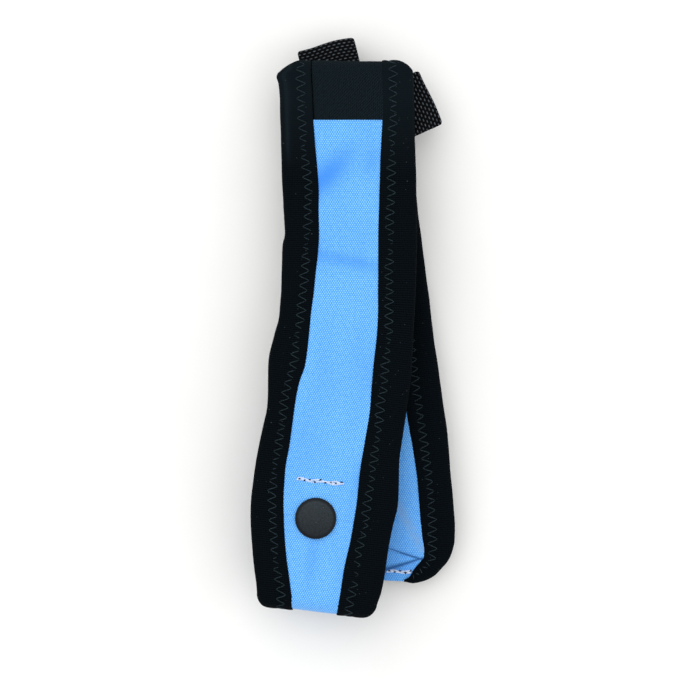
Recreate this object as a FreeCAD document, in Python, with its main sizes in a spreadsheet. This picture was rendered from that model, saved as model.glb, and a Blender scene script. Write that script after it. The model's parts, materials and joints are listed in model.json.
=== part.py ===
import FreeCAD, Part
import math
import os
from FreeCAD import Placement, Rotation, Vector

# A gait belt put away in three lengths: the rear leg lies on the table, the middle leg is folded back over it
# and the front leg lies on top. The adjusting strap is bundled under the top end, and its toothed buckle lies
# under the rear leg. The origin is under the middle of the box, +Y runs along the legs and +Z is up. Sizes in mm.

os.makedirs("parts", exist_ok=True)
doc = FreeCAD.newDocument("gait_belt")
sheet = doc.addObject("Spreadsheet::Sheet", "sizes")

DRIVING_SIZES = {
    # the padded band
    "band_width": 49.0,
    "binding_lip_width": 12.2,
    "binding_edge": 0.8,
    "lip_thickness": 0.6,
    "padding_thickness": 2.0,
    "webbing_face_thickness": 0.9,
    "rear_corner_radius": 13.0,
    # how the three legs lie
    "front_top_y": 93.4,
    "middle_top_y": 91.0,
    "front_centre_x": -1.2,
    "rear_centre_x": -0.7,
    "front_bend_y": 7.0,
    "rear_bend_y": 47.0,
    "front_lean": 6.3,
    "rear_lean": 6.4,
    "plan_bend_radius": 260.0,
    "side_bend_radius": 42.0,
    "front_leg_end_y": -98.9,
    "rear_leg_end_y": -93.5,
    "top_fold_radius": 2.8,
    "bottom_fold_radius": 3.0,
    "rise_start_y": 58.0,
    "rise_end_y": -12.0,
    "droop_start_y": -66.0,
    "droop_depth": 4.6,
    "buckle_height": 9.0,
    "soft_clearance": 0.3,
    # the front leg's end, its facing patch and the folded adjusting strap
    "patch_length": 19.6,
    "hem_flap_length": 23.0,
    "strap_width": 25.0,
    "strap_thickness": 1.15,
    "strap_gap": 0.2,
    "bundle_length": 21.6,
    "stitch_thickness": 0.3,
    "left_bundle_x": -7.1,
    "left_bundle_y": 91.6,
    "left_bundle_turn": 13.0,
    "right_bundle_x": 17.0,
    "right_bundle_y": 79.3,
    "right_bundle_turn": -62.0,
    "box_stitch_size": 12.0,
    "box_stitch_inset": 4.0,
    "thread_width": 1.6,
    # bar tacks
    "bartack_length": 17.0,
    "bartack_width": 1.6,
    "bartack_thickness": 0.4,
    "front_bartack_y": -56.0,
    "front_bartack_side": -3.35,
    "rear_bartack_y": -90.0,
    "rear_bartack_side": 2.6,
    "rear_bartack_length": 9.0,
    # the press stud
    "snap_y": -69.8,
    "snap_side": -3.55,
    "cap_radius": 7.5,
    "cap_rim_height": 1.1,
    "cap_dome_height": 0.9,
    "cap_top_radius": 5.6,
    "post_radius": 1.8,
    "socket_radius": 5.5,
    "socket_height": 1.7,
    "stud_radius": 2.2,
    "stud_flange_radius": 5.3,
    "stud_flange_height": 0.7,
    "stud_height": 1.2,
    "stud_clearance": 0.3,
    "backing_radius": 5.0,
    "backing_height": 0.8,
    # the toothed buckle, from its tab bar
    "tab_bar_y": -58.0,
    "tab_bar_radius": 1.5,
    "running_clearance": 0.06,
    "ear_gap": 26.6,
    "ear_thickness": 2.0,
    "ear_length": 30.0,
    "ear_rise": 2.3,
    "platen_thickness": 1.4,
    "platen_start": 6.0,
    "platen_length": 14.0,
    "front_bar_length": 2.4,
    "pin_forward": 14.0,
    "pin_radius": 1.0,
    "pin_head_radius": 1.8,
    "pin_head_height": 0.8,
    "barrel_radius": 2.0,
    "jaw_side_clearance": 0.4,
    "lever_thickness": 1.5,
    "lever_length": 15.0,
    "thumb_lip_height": 1.2,
    "thumb_lip_length": 2.4,
    "tooth_count": 8,
    "tooth_width": 1.3,
    "tooth_height": 0.9,
    "spring_slot_width": 6.0,
    "spring_wire_radius": 0.25,
    "spring_coil_radius": 1.45,
    "spring_turns": 6,
}

for row, (alias, number) in enumerate(DRIVING_SIZES.items(), start=1):
    sheet.set("A%d" % row, alias)
    sheet.set("B%d" % row, str(number))
    sheet.setAlias("B%d" % row, alias)
doc.recompute()


def size(alias):
    return float(sheet.get(alias))


HALF_WIDTH = size("band_width") / 2
HALF_PADDING = size("padding_thickness") / 2
HALF_BAND = HALF_PADDING + size("lip_thickness")
FACE_TOP = HALF_PADDING + size("webbing_face_thickness")
CHANNEL_HALF = HALF_WIDTH - size("binding_lip_width")
PADDING_HALF_WIDTH = HALF_WIDTH - size("binding_edge")
UP = Vector(0, 0, 1)

# heights of the middle of each leg's thickness
REAR_LOW = HALF_BAND
REAR_HIGH = size("buckle_height") + HALF_BAND
MIDDLE_LOW = REAR_LOW + 2 * size("top_fold_radius")
MIDDLE_HIGH = REAR_HIGH + 2 * size("top_fold_radius")
FRONT_HIGH = MIDDLE_HIGH + 2 * size("bottom_fold_radius")
BUNDLE_HEIGHT = 2 * size("strap_thickness") + size("strap_gap")
LEFT_BUNDLE_Z = MIDDLE_LOW + HALF_BAND + size("soft_clearance")
RIGHT_BUNDLE_Z = LEFT_BUNDLE_Z + BUNDLE_HEIGHT
BOX_STITCH_Z = RIGHT_BUNDLE_Z + BUNDLE_HEIGHT
HEM_FLAP_Z = BOX_STITCH_Z + size("stitch_thickness") + HALF_BAND
HEM_RADIUS = HALF_BAND + size("soft_clearance")
FRONT_LOW = HEM_FLAP_Z + 2 * HEM_RADIUS


# ---------------------------------------------------------------- outlines made of runs and arcs

def offset_edges(points, radius, offset):
    """Edges of a run of straight lines with rounded turns, moved sideways (to the left of its way) by offset."""
    edges = []
    start = None
    for index, point in enumerate(points):
        if index in (0, len(points) - 1):
            near, far = (point, points[1]) if index == 0 else (points[-2], point)
            way = (far - near).normalize()
            moved = point + UP.cross(way) * offset
            if start is not None:
                edges.append(Part.LineSegment(start, moved).toShape())
            start = moved
            continue
        way_in = (point - points[index - 1]).normalize()
        way_out = (points[index + 1] - point).normalize()
        turn = math.atan2(way_in.cross(way_out).z, way_in.dot(way_out))
        reach = radius * math.tan(abs(turn) / 2)
        side = math.copysign(1.0, turn)
        centre = point - way_in * reach + UP.cross(way_in) * radius * side
        arc_radius = radius - offset * side
        spokes = [UP.cross(way) * (-side) for way in (way_in, (way_in + way_out).normalize(), way_out)]
        first, middle, last = [centre + spoke * arc_radius for spoke in spokes]
        edges.append(Part.LineSegment(start, first).toShape())
        edges.append(Part.Arc(first, middle, last).toShape())
        start = last
    return edges


def layer_face(points, radius, low, high):
    """The flat face between two sideways offsets of a run."""
    lower = offset_edges(points, radius, low)
    upper = offset_edges(points, radius, high)
    ends = [
        Part.LineSegment(lower[0].firstVertex().Point, upper[0].firstVertex().Point).toShape(),
        Part.LineSegment(lower[-1].lastVertex().Point, upper[-1].lastVertex().Point).toShape(),
    ]
    wire = Part.Wire(Part.__sortEdges__(lower + upper + ends))
    return Part.Face(wire)


SIDE_DEPTH = 140.0
PLAN_HEIGHT = 60.0


def side_layer(route, low, high):
    """A leg's layer seen from the side: heights above the leg's mid-line from low to high, very wide."""
    face = layer_face([Vector(y, z, 0) for y, z in route], size("side_bend_radius"), low, high)
    wide = face.extrude(Vector(0, 0, SIDE_DEPTH))
    # the outline was drawn with Y across and Z up, so it is stood up along the legs
    wide.Placement = Placement(Vector(-SIDE_DEPTH / 2, 0, 0), Rotation(Vector(1, 1, 1), 120))
    return wide


def plan_layer(route, left, right):
    """A strip seen from above, between two sideways places of a leg's centre line."""
    points = [Vector(x, y, 0) for x, y in route]
    face = layer_face(points, size("plan_bend_radius"), left, right)
    return face.extrude(Vector(0, 0, PLAN_HEIGHT))


def ribbon(side_route, low, high, plan):
    return side_layer(side_route, low, high).common(plan).removeSplitter()


def leaned(x, bend_y, lean, at_y):
    """The place at at_y on a centre line that leans away from straight below bend_y."""
    return (x + (bend_y - at_y) * math.tan(math.radians(lean)), at_y)


# ---------------------------------------------------------------- routes of the three legs

FRONT_LEAN = -size("front_lean")
REAR_LEAN = size("rear_lean")
front_end = leaned(size("front_centre_x"), size("front_bend_y"), FRONT_LEAN, size("front_leg_end_y"))
rear_end = leaned(size("rear_centre_x"), size("rear_bend_y"), REAR_LEAN, size("rear_leg_end_y"))


def front_plan_route(top_y):
    """From the bottom fold up to the top, so that left of the way is toward -X."""
    return [front_end, (size("front_centre_x"), size("front_bend_y")), (size("front_centre_x"), top_y)]


def rear_plan_route(top_y):
    return [rear_end, (size("rear_centre_x"), size("rear_bend_y")), (size("rear_centre_x"), top_y)]


OVERRUN = 30.0


def rising_route(low, high, top_y, droop):
    """Side route from beyond the bottom end to the top, low at the top and high over the buckle."""
    lower_end = (size("rear_leg_end_y") - OVERRUN, high)
    route = [lower_end]
    if droop:
        slope = size("droop_depth") / (size("droop_start_y") - size("rear_leg_end_y"))
        fall = slope * (size("droop_start_y") - lower_end[0])
        route = [(lower_end[0], high - fall), (size("droop_start_y"), high)]
    return route + [(size("rise_end_y"), high), (size("rise_start_y"), low), (top_y, low)]


rear_side = rising_route(REAR_LOW, REAR_HIGH, size("middle_top_y"), droop=True)
middle_side = rising_route(MIDDLE_LOW, MIDDLE_HIGH, size("middle_top_y"), droop=False)
front_side = rising_route(FRONT_LOW, FRONT_HIGH, size("front_top_y"), droop=False)

shapes = {}


def keep(label, shape):
    """Make a sub-part from a finished shape."""
    made = doc.addObject("Part::Feature", label)
    made.Shape = shape
    made.Label = label
    shapes[label] = made
    return made


def binding(side_route, plan_route, hand, corner=None):
    """The soft sleeve that wraps one edge of the padding: hand 1 is the -X edge and -1 is the +X edge."""
    outer = plan_layer(plan_route, hand * CHANNEL_HALF, hand * HALF_WIDTH)
    sleeve = ribbon(side_route, -HALF_BAND, HALF_BAND, outer)
    inside = plan_layer(plan_route, 0, hand * PADDING_HALF_WIDTH)
    sleeve = sleeve.cut(side_layer(side_route, -HALF_PADDING, HALF_PADDING).common(inside))
    return sleeve.common(corner) if corner else sleeve


def leg(name, side_route, plan_route, face_side, corner=None, face_top_y=None, holes=None):
    """The padding, its two bindings and the blue webbing face of one leg."""
    padding_plan = plan_layer(plan_route, -PADDING_HALF_WIDTH, PADDING_HALF_WIDTH)
    padding = ribbon(side_route, -HALF_PADDING, HALF_PADDING, padding_plan)
    face_route = plan_route[:-1] + [(plan_route[-1][0], face_top_y or plan_route[-1][1])]
    face_plan = plan_layer(face_route, -CHANNEL_HALF, CHANNEL_HALF)
    face = ribbon(side_route, *sorted((face_side * HALF_PADDING, face_side * FACE_TOP)), face_plan)
    if corner:
        padding = padding.common(corner)
        face = face.common(corner)
    if holes:
        padding = padding.cut(holes)
        face = face.cut(holes)
    keep(name + "_padding", padding)
    keep(name + "_blue_webbing", face)
    keep(name + "_binding_left", binding(side_route, plan_route, 1, corner))
    keep(name + "_binding_right", binding(side_route, plan_route, -1, corner))


# ---------------------------------------------------------------- the press stud's place

front_axis = Vector(math.sin(math.radians(size("front_lean"))), math.cos(math.radians(size("front_lean"))), 0)
front_across = Vector(front_axis.y, -front_axis.x, 0)
snap_x, snap_y = leaned(size("front_centre_x"), size("front_bend_y"), FRONT_LEAN, size("snap_y"))
snap_place = Vector(snap_x, snap_y, 0) + front_across * size("snap_side")
post_hole = Part.makeCylinder(size("post_radius"), PLAN_HEIGHT, snap_place)

# ---------------------------------------------------------------- legs

leg("front", front_side, front_plan_route(size("front_top_y")), 1,
    face_top_y=size("front_top_y") - size("patch_length") + HEM_RADIUS, holes=post_hole)
leg("middle", middle_side, front_plan_route(size("middle_top_y")), -1, holes=post_hole)

rear_route = rear_plan_route(size("middle_top_y"))
rear_outline = plan_layer(rear_route, -HALF_WIDTH, HALF_WIDTH)
UPRIGHT = 0.9
end_corners = [
    edge for edge in rear_outline.Edges
    if abs(edge.tangentAt(edge.FirstParameter).z) > UPRIGHT
    and edge.CenterOfMass.y < size("rear_leg_end_y") + size("rear_corner_radius")
]
rear_outline = rear_outline.makeFillet(size("rear_corner_radius"), end_corners)
leg("rear", rear_side, rear_route, 1, corner=rear_outline)

# the facing patch that closes the channel above the blue webbing of the front leg
patch_low_y = size("front_top_y") - size("patch_length") + HEM_RADIUS
patch_plan = plan_layer(
    [(size("front_centre_x"), patch_low_y), (size("front_centre_x"), size("front_top_y"))],
    -CHANNEL_HALF, CHANNEL_HALF,
)
keep("front_centre_patch", ribbon(front_side, HALF_PADDING, FACE_TOP, patch_plan))


# ---------------------------------------------------------------- folds of the band

def half_ring(radius, half_thickness, width):
    """Half of a flat tube, open toward +Y, lying along X and centred on the origin."""
    outer = Part.makeCylinder(radius + half_thickness, width, Vector(-width / 2, 0, 0), Vector(1, 0, 0))
    inner = Part.makeCylinder(radius - half_thickness, width, Vector(-width / 2, 0, 0), Vector(1, 0, 0))
    reach = radius + half_thickness
    half = Part.makeBox(width, reach, 2 * reach, Vector(-width / 2, -reach, -reach))
    return outer.cut(inner).common(half)


bottom_fold = keep("bottom_fold", half_ring(size("bottom_fold_radius"), HALF_BAND, size("band_width")))
bottom_fold.Placement = Placement(
    Vector(front_end[0], front_end[1], (MIDDLE_HIGH + FRONT_HIGH) / 2), Rotation(UP, FRONT_LEAN))

top_fold = keep("top_fold", half_ring(size("top_fold_radius"), HALF_BAND, size("band_width")))
top_fold.Placement = Placement(
    Vector((size("rear_centre_x") + size("front_centre_x")) / 2, size("middle_top_y"),
           (REAR_LOW + MIDDLE_LOW) / 2), Rotation(UP, 180))

# ---------------------------------------------------------------- the turned-under top end of the front leg

hem = half_ring(HEM_RADIUS, HALF_BAND, size("band_width"))
hem.Placement = Placement(Vector(size("front_centre_x"), size("front_top_y"), (FRONT_LOW + HEM_FLAP_Z) / 2),
                          Rotation(UP, 180))
flap = Part.makeBox(
    size("band_width"), size("hem_flap_length"), 2 * HALF_BAND,
    Vector(size("front_centre_x") - HALF_WIDTH, size("front_top_y") - size("hem_flap_length"),
           HEM_FLAP_Z - HALF_BAND))
keep("front_end_hem", hem.fuse(flap).removeSplitter())


# ---------------------------------------------------------------- the folded adjusting strap

def strap_bundle(label, x, y, z, turn):
    """Two lengths of strap lying flat on each other and joined by a tight fold at each end."""
    length, width = size("bundle_length"), size("strap_width")
    radius = BUNDLE_HEIGHT / 2
    slit = size("strap_gap") / 2

    def flat_loop(half_height):
        run = length / 2 - radius
        block = Part.makeBox(2 * run, width, 2 * half_height, Vector(-run, -width / 2, -half_height))
        for end in (-run, run):
            turn_round = Part.makeCylinder(half_height, width, Vector(end, -width / 2, 0), Vector(0, 1, 0))
            block = block.fuse(turn_round)
        return block.removeSplitter()

    made = keep(label, flat_loop(radius).cut(flat_loop(slit)))
    made.Placement = Placement(Vector(x, y, z + radius), Rotation(UP, turn))


strap_bundle("strap_bundle_left", size("left_bundle_x"), size("left_bundle_y"), LEFT_BUNDLE_Z,
             size("left_bundle_turn"))
strap_bundle("strap_bundle_right", size("right_bundle_x"), size("right_bundle_y"), RIGHT_BUNDLE_Z,
             size("right_bundle_turn"))

box_size = size("box_stitch_size")
box_inner = box_size - 2 * size("thread_width")
stitch_box = Part.makeBox(box_size, box_size, size("stitch_thickness"), Vector(-box_size / 2, -box_size / 2, 0))
stitch_hole = Part.makeBox(box_inner, box_inner, size("stitch_thickness"), Vector(-box_inner / 2, -box_inner / 2, 0))
box_stitch = keep("strap_box_stitch", stitch_box.cut(stitch_hole))
stitch_turn = Rotation(UP, size("right_bundle_turn"))
# the stitching lies inward of the bundle's middle, where the hem flap covers it
stitch_inset = stitch_turn.multVec(Vector(-size("box_stitch_inset") / 2, -size("box_stitch_inset"), 0))
box_stitch.Placement = Placement(
    Vector(size("right_bundle_x"), size("right_bundle_y"), BOX_STITCH_Z) + stitch_inset, stitch_turn)


# ---------------------------------------------------------------- bar tacks

def bartack(label, side_route, centre, along, length):
    """A dense bar of thread lying on the blue face; along is its direction in degrees."""
    half = size("bartack_width") / 2
    reach = Vector(math.cos(math.radians(along)), math.sin(math.radians(along)), 0) * (length / 2)
    middle = Vector(centre[0], centre[1], 0)
    ends = [middle - reach, middle + reach]
    plan = plan_layer([(point.x, point.y) for point in ends], -half, half)
    keep(label, ribbon(side_route, FACE_TOP, FACE_TOP + size("bartack_thickness"), plan))


front_tack = leaned(size("front_centre_x"), size("front_bend_y"), FRONT_LEAN, size("front_bartack_y"))
bartack("front_bartack", front_side, (front_tack[0] + size("front_bartack_side"), front_tack[1]),
        FRONT_LEAN, size("bartack_length"))
rear_tack = leaned(size("rear_centre_x"), size("rear_bend_y"), REAR_LEAN, size("rear_bartack_y"))
bartack("rear_bartack", rear_side, (rear_tack[0] + size("rear_bartack_side"), rear_tack[1]), 0,
        size("rear_bartack_length"))


# ---------------------------------------------------------------- pieces whose sizes are bound to the sheet

def bound(kind, label, at=(0, 0, 0), rotation=None, **properties):
    """A basic solid with its properties, and if need be its place, given as expressions of the sheet."""
    made = doc.addObject(kind, label)
    if rotation:
        made.Placement = Placement(Vector(0, 0, 0), rotation)
    for name, place in zip("xyz", at):
        if isinstance(place, str):
            made.setExpression("Placement.Base." + name, place)
    for name, expression in properties.items():
        made.setExpression(name, expression)
    return made


def fused(label, pieces):
    made = doc.addObject("Part::MultiFuse", label)
    made.Shapes = pieces
    made.Refine = True
    shapes[label] = made
    return made


def cut_from(label, base, tool):
    made = doc.addObject("Part::Cut", label)
    made.Base = base
    made.Tool = tool
    made.Refine = True
    shapes[label] = made
    return made


ALONG_X = Rotation(Vector(0, 1, 0), 90)

# the press stud: cap and post through the front leg, socket behind it; stud and backing on the middle leg
front_face_z = FRONT_HIGH + FACE_TOP
front_back_z = FRONT_HIGH - HALF_PADDING
cap_rim = bound("Part::Cylinder", "cap_rim", Radius="sizes.cap_radius", Height="sizes.cap_rim_height")
cap_dome = bound("Part::Cone", "cap_dome", (0, 0, "sizes.cap_rim_height"), Radius1="sizes.cap_radius",
                 Radius2="sizes.cap_top_radius", Height="sizes.cap_dome_height")
cap_post = bound("Part::Cylinder", "cap_post", (0, 0, "-sizes.padding_thickness - sizes.webbing_face_thickness"),
                 Radius="sizes.post_radius", Height="sizes.padding_thickness + sizes.webbing_face_thickness")
snap_cap = fused("snap_cap", [cap_rim, cap_dome, cap_post])
snap_cap.Placement.Base = snap_place + UP * front_face_z

socket_disc = bound("Part::Cylinder", "socket_disc", Radius="sizes.socket_radius", Height="sizes.socket_height")
socket_hollow = bound("Part::Cylinder", "socket_hollow", Radius="sizes.stud_radius + sizes.stud_clearance",
                      Height="sizes.stud_height")
snap_socket = cut_from("snap_socket", socket_disc, socket_hollow)
snap_socket.Placement.Base = snap_place + UP * (front_back_z - size("socket_height"))

stud_flange = bound("Part::Cylinder", "stud_flange", Radius="sizes.stud_flange_radius",
                    Height="sizes.stud_flange_height")
stud_boss = bound("Part::Cylinder", "stud_boss", (0, 0, "sizes.stud_flange_height"), Radius="sizes.stud_radius",
                  Height="sizes.stud_height")
snap_stud = fused("snap_stud", [stud_flange, stud_boss])
snap_stud.Placement.Base = snap_place + UP * (MIDDLE_HIGH + HALF_PADDING)

backing_disc = bound("Part::Cylinder", "backing_disc", Radius="sizes.backing_radius", Height="sizes.backing_height")
backing_post = bound("Part::Cylinder", "backing_post", (0, 0, "sizes.backing_height"), Radius="sizes.post_radius",
                     Height="sizes.padding_thickness + sizes.webbing_face_thickness")
snap_stud_backing = fused("snap_stud_backing", [backing_disc, backing_post])
snap_stud_backing.Placement.Base = snap_place + UP * (MIDDLE_HIGH - FACE_TOP - size("backing_height"))

# ---------------------------------------------------------------- the toothed buckle, drawn at its tab bar

bar_x, bar_y = leaned(size("rear_centre_x"), size("rear_bend_y"), REAR_LEAN, size("tab_bar_y"))
bar_z = size("buckle_height") - size("tab_bar_radius") - size("running_clearance") - size("strap_thickness")
buckle_place = Placement(Vector(bar_x, bar_y, bar_z), Rotation(UP, REAR_LEAN))
FLOOR = "-%s" % bar_z
PIN_DROP = "(sizes.ear_rise - sizes.platen_thickness - sizes.strap_thickness - sizes.barrel_radius " \
           "- sizes.tooth_height)"

ears = []
for hand, start in (("left", "-sizes.ear_gap / 2 - sizes.ear_thickness"), ("right", "sizes.ear_gap / 2")):
    ears.append(bound("Part::Box", "ear_" + hand, (start, 0, FLOOR), Length="sizes.ear_thickness",
                      Width="sizes.ear_length", Height="sizes.ear_rise + %s" % bar_z))
    ears.append(bound("Part::Cylinder", "ear_nose_" + hand, (start, 0, 0), ALONG_X, Radius="sizes.ear_rise",
                      Height="sizes.ear_thickness"))
tab_bar = bound("Part::Cylinder", "tab_bar", ("-sizes.ear_gap / 2", 0, 0), ALONG_X,
                Radius="sizes.tab_bar_radius", Height="sizes.ear_gap")
platen = bound("Part::Box", "platen", ("-sizes.ear_gap / 2", "sizes.platen_start",
                                       "sizes.ear_rise - sizes.platen_thickness"),
               Length="sizes.ear_gap", Width="sizes.platen_length", Height="sizes.platen_thickness")
front_bar = bound("Part::Box", "front_bar", ("-sizes.ear_gap / 2", "sizes.ear_length - sizes.front_bar_length",
                                             "sizes.ear_rise - sizes.platen_thickness"),
                  Length="sizes.ear_gap", Width="sizes.front_bar_length", Height="sizes.platen_thickness")
frame_body = fused("frame_body", ears + [tab_bar, platen, front_bar])
del shapes["frame_body"]
SPAN = "sizes.ear_gap + 2 * sizes.ear_thickness"
pin_bore = bound("Part::Cylinder", "pin_bore", ("-(%s) / 2" % SPAN, "sizes.pin_forward", PIN_DROP), ALONG_X,
                 Radius="sizes.pin_radius", Height=SPAN)
buckle_frame = cut_from("buckle_frame", frame_body, pin_bore)

pin_shaft = bound("Part::Cylinder", "pin_shaft", ("-(%s) / 2" % SPAN, "sizes.pin_forward", PIN_DROP), ALONG_X,
                  Radius="sizes.pin_radius", Height=SPAN)
pin_heads = [
    bound("Part::Cylinder", "pin_head_" + hand, (start, "sizes.pin_forward", PIN_DROP), ALONG_X,
          Radius="sizes.pin_head_radius", Height="sizes.pin_head_height")
    for hand, start in (("left", "-(%s) / 2 - sizes.pin_head_height" % SPAN), ("right", "(%s) / 2" % SPAN))
]
jaw_pin = fused("jaw_pin", [pin_shaft] + pin_heads)

JAW_HALF = "(sizes.ear_gap / 2 - sizes.jaw_side_clearance)"
barrel = bound("Part::Cylinder", "jaw_barrel", ("-" + JAW_HALF, "sizes.pin_forward", PIN_DROP), ALONG_X,
               Radius="sizes.barrel_radius", Height="2 * " + JAW_HALF)
lever = bound("Part::Box", "jaw_lever", ("-" + JAW_HALF, "sizes.pin_forward",
                                         PIN_DROP + " - sizes.barrel_radius"),
              Length="2 * " + JAW_HALF, Width="sizes.lever_length", Height="sizes.lever_thickness")
thumb_lip = bound("Part::Box", "jaw_thumb_lip",
                  ("-" + JAW_HALF, "sizes.pin_forward + sizes.lever_length - sizes.thumb_lip_length",
                   PIN_DROP + " - sizes.barrel_radius + sizes.lever_thickness"),
                  Length="2 * " + JAW_HALF, Width="sizes.thumb_lip_length", Height="sizes.thumb_lip_height")
teeth = []
tooth_count = int(size("tooth_count"))
for index in range(tooth_count):
    # the teeth leave the middle free for the spring
    share = (index + 0.5) / tooth_count * 2 - 1
    across = "%s * (%s - sizes.tooth_width / 2) - sizes.tooth_width / 2" % (share, JAW_HALF)
    teeth.append(bound("Part::Box", "jaw_tooth_%d" % index,
                       (across, "sizes.pin_forward - sizes.tooth_width / 2",
                        PIN_DROP + " + sizes.barrel_radius - sizes.tooth_width / 2"),
                       Length="sizes.tooth_width", Width="sizes.tooth_width",
                       Height="sizes.tooth_height + sizes.tooth_width / 2"))
jaw_body = fused("jaw_body", [barrel, lever, thumb_lip] + teeth)
del shapes["jaw_body"]
jaw_bore = bound("Part::Cylinder", "jaw_bore", ("-" + JAW_HALF, "sizes.pin_forward", PIN_DROP), ALONG_X,
                 Radius="sizes.pin_radius + sizes.running_clearance", Height="2 * " + JAW_HALF)
spring_slot = bound("Part::Box", "spring_slot",
                    ("-sizes.spring_slot_width / 2", "sizes.pin_forward - sizes.barrel_radius",
                     PIN_DROP + " - sizes.barrel_radius"),
                    Length="sizes.spring_slot_width", Width="2 * sizes.barrel_radius",
                    Height="2 * sizes.barrel_radius + sizes.tooth_height")
jaw_cutters = fused("jaw_cutters", [jaw_bore, spring_slot])
del shapes["jaw_cutters"]
toothed_jaw = cut_from("toothed_jaw", jaw_body, jaw_cutters)
for piece in (buckle_frame, jaw_pin, toothed_jaw):
    piece.Placement = buckle_place
doc.recompute()

# the torsion spring between the two halves of the jaw's barrel
coil_length = size("spring_slot_width") - 2 * size("spring_wire_radius")
helix = Part.makeHelix(coil_length / size("spring_turns"), coil_length, size("spring_coil_radius"))
wire_ring = Part.Wire(Part.makeCircle(size("spring_wire_radius"), Vector(size("spring_coil_radius"), 0, 0),
                                      Vector(0, 1, 0)))
coil = Part.Wire(helix).makePipeShell([wire_ring], True, True)
pin_z = size("ear_rise") - size("platen_thickness") - size("strap_thickness") - size("barrel_radius") \
    - size("tooth_height")
spring = keep("jaw_spring", coil)
spring.Placement = buckle_place.multiply(
    Placement(Vector(-coil_length / 2, size("pin_forward"), pin_z), ALONG_X))

# ---------------------------------------------------------------- the tab that holds the buckle to the rear leg

loop_radius = size("tab_bar_radius") + size("running_clearance") + size("strap_thickness")
tab_half = size("strap_width") / 2
neck_length = 5.0
tab_low = loop_radius - 2 * size("strap_thickness")
neck_points = [(0, loop_radius), (-neck_length, loop_radius), (-neck_length, tab_low),
               (-loop_radius * math.sin(math.radians(45)), -loop_radius * math.cos(math.radians(45))), (0, 0),
               (0, loop_radius)]
neck = Part.Face(Part.makePolygon([Vector(-tab_half, y, z) for y, z in neck_points]))
neck = neck.extrude(Vector(size("strap_width"), 0, 0))
loop = Part.makeCylinder(loop_radius, size("strap_width"), Vector(-tab_half, 0, 0), Vector(1, 0, 0))
bar_hole = Part.makeCylinder(size("tab_bar_radius") + size("running_clearance"), size("strap_width"),
                             Vector(-tab_half, 0, 0), Vector(1, 0, 0))
tab_head = loop.fuse(neck).cut(bar_hole)
tab_head.Placement = buckle_place
lean_axis = Vector(-math.sin(math.radians(REAR_LEAN)), math.cos(math.radians(REAR_LEAN)), 0)
tab_start = Vector(bar_x, bar_y, 0) - lean_axis * neck_length
tab_stop = leaned(size("rear_centre_x"), size("rear_bend_y"), REAR_LEAN,
                  size("rear_bartack_y") - size("bartack_width") / 2)
tab_plan = plan_layer([tab_stop, (tab_start.x, tab_start.y)], -tab_half, tab_half)
tab_strip = ribbon(rear_side, -HALF_BAND - 2 * size("strap_thickness"), -HALF_BAND, tab_plan)
keep("buckle_tab", tab_head.fuse(tab_strip).removeSplitter())
doc.recompute()

# ---------------------------------------------------------------- checks and export

for item in doc.Objects:
    if "Invalid" in item.State or "Error" in item.State:
        raise RuntimeError("%s did not compute: %s" % (item.Name, item.State))
for label, item in shapes.items():
    item.Label = label
    if item.Shape.isNull() or not item.Shape.isValid():
        raise RuntimeError("%s has no valid shape" % label)
    print("%-24s solids %d  volume %8.1f" % (label, len(item.Shape.Solids), item.Shape.Volume))
    item.Shape.exportStep("parts/%s.step" % label)

box = FreeCAD.BoundBox()
for item in shapes.values():
    box.add(item.Shape.BoundBox)
print("nodes", len(shapes), "box", box)
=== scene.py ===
import functools
import json
import math

import bpy
import numpy as np
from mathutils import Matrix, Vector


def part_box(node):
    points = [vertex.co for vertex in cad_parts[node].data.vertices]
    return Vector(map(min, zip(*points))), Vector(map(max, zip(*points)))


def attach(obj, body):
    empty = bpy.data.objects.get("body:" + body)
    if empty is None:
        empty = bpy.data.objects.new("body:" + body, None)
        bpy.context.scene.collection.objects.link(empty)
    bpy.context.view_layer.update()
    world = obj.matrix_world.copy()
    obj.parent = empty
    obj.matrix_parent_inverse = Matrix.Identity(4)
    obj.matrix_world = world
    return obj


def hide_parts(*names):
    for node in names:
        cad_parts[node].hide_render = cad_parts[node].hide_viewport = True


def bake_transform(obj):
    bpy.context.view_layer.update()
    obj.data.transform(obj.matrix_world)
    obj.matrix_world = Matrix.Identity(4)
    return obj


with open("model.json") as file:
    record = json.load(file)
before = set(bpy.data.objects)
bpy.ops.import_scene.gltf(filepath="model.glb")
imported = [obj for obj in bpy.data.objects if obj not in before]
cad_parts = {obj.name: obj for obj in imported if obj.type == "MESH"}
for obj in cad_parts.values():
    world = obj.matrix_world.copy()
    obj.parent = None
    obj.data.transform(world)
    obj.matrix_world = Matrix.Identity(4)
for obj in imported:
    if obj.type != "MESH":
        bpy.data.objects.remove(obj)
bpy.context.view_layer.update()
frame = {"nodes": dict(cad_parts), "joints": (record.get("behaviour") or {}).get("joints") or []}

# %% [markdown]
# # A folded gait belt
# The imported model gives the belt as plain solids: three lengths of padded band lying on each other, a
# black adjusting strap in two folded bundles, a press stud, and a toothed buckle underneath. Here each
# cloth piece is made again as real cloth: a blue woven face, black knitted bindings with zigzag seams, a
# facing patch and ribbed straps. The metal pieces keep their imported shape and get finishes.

MM = 0.001


def node_box(name):
    """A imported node's lowest and highest corners in millimetres."""
    return [np.array(corner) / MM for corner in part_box(name)]


def joint_place(name):
    """Where a joint's axis passes, in millimetres."""
    found = [joint for joint in frame["joints"] if joint["name"] == name][0]
    return np.array(found["pos_m"]) / MM


# %% [markdown]
# ## Heights of the three lengths
# The band is 3.2 mm thick. Its middle surface is what everything else is measured from, so its heights
# are read from the boxes of the two folds and of the turned-under end.

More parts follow.
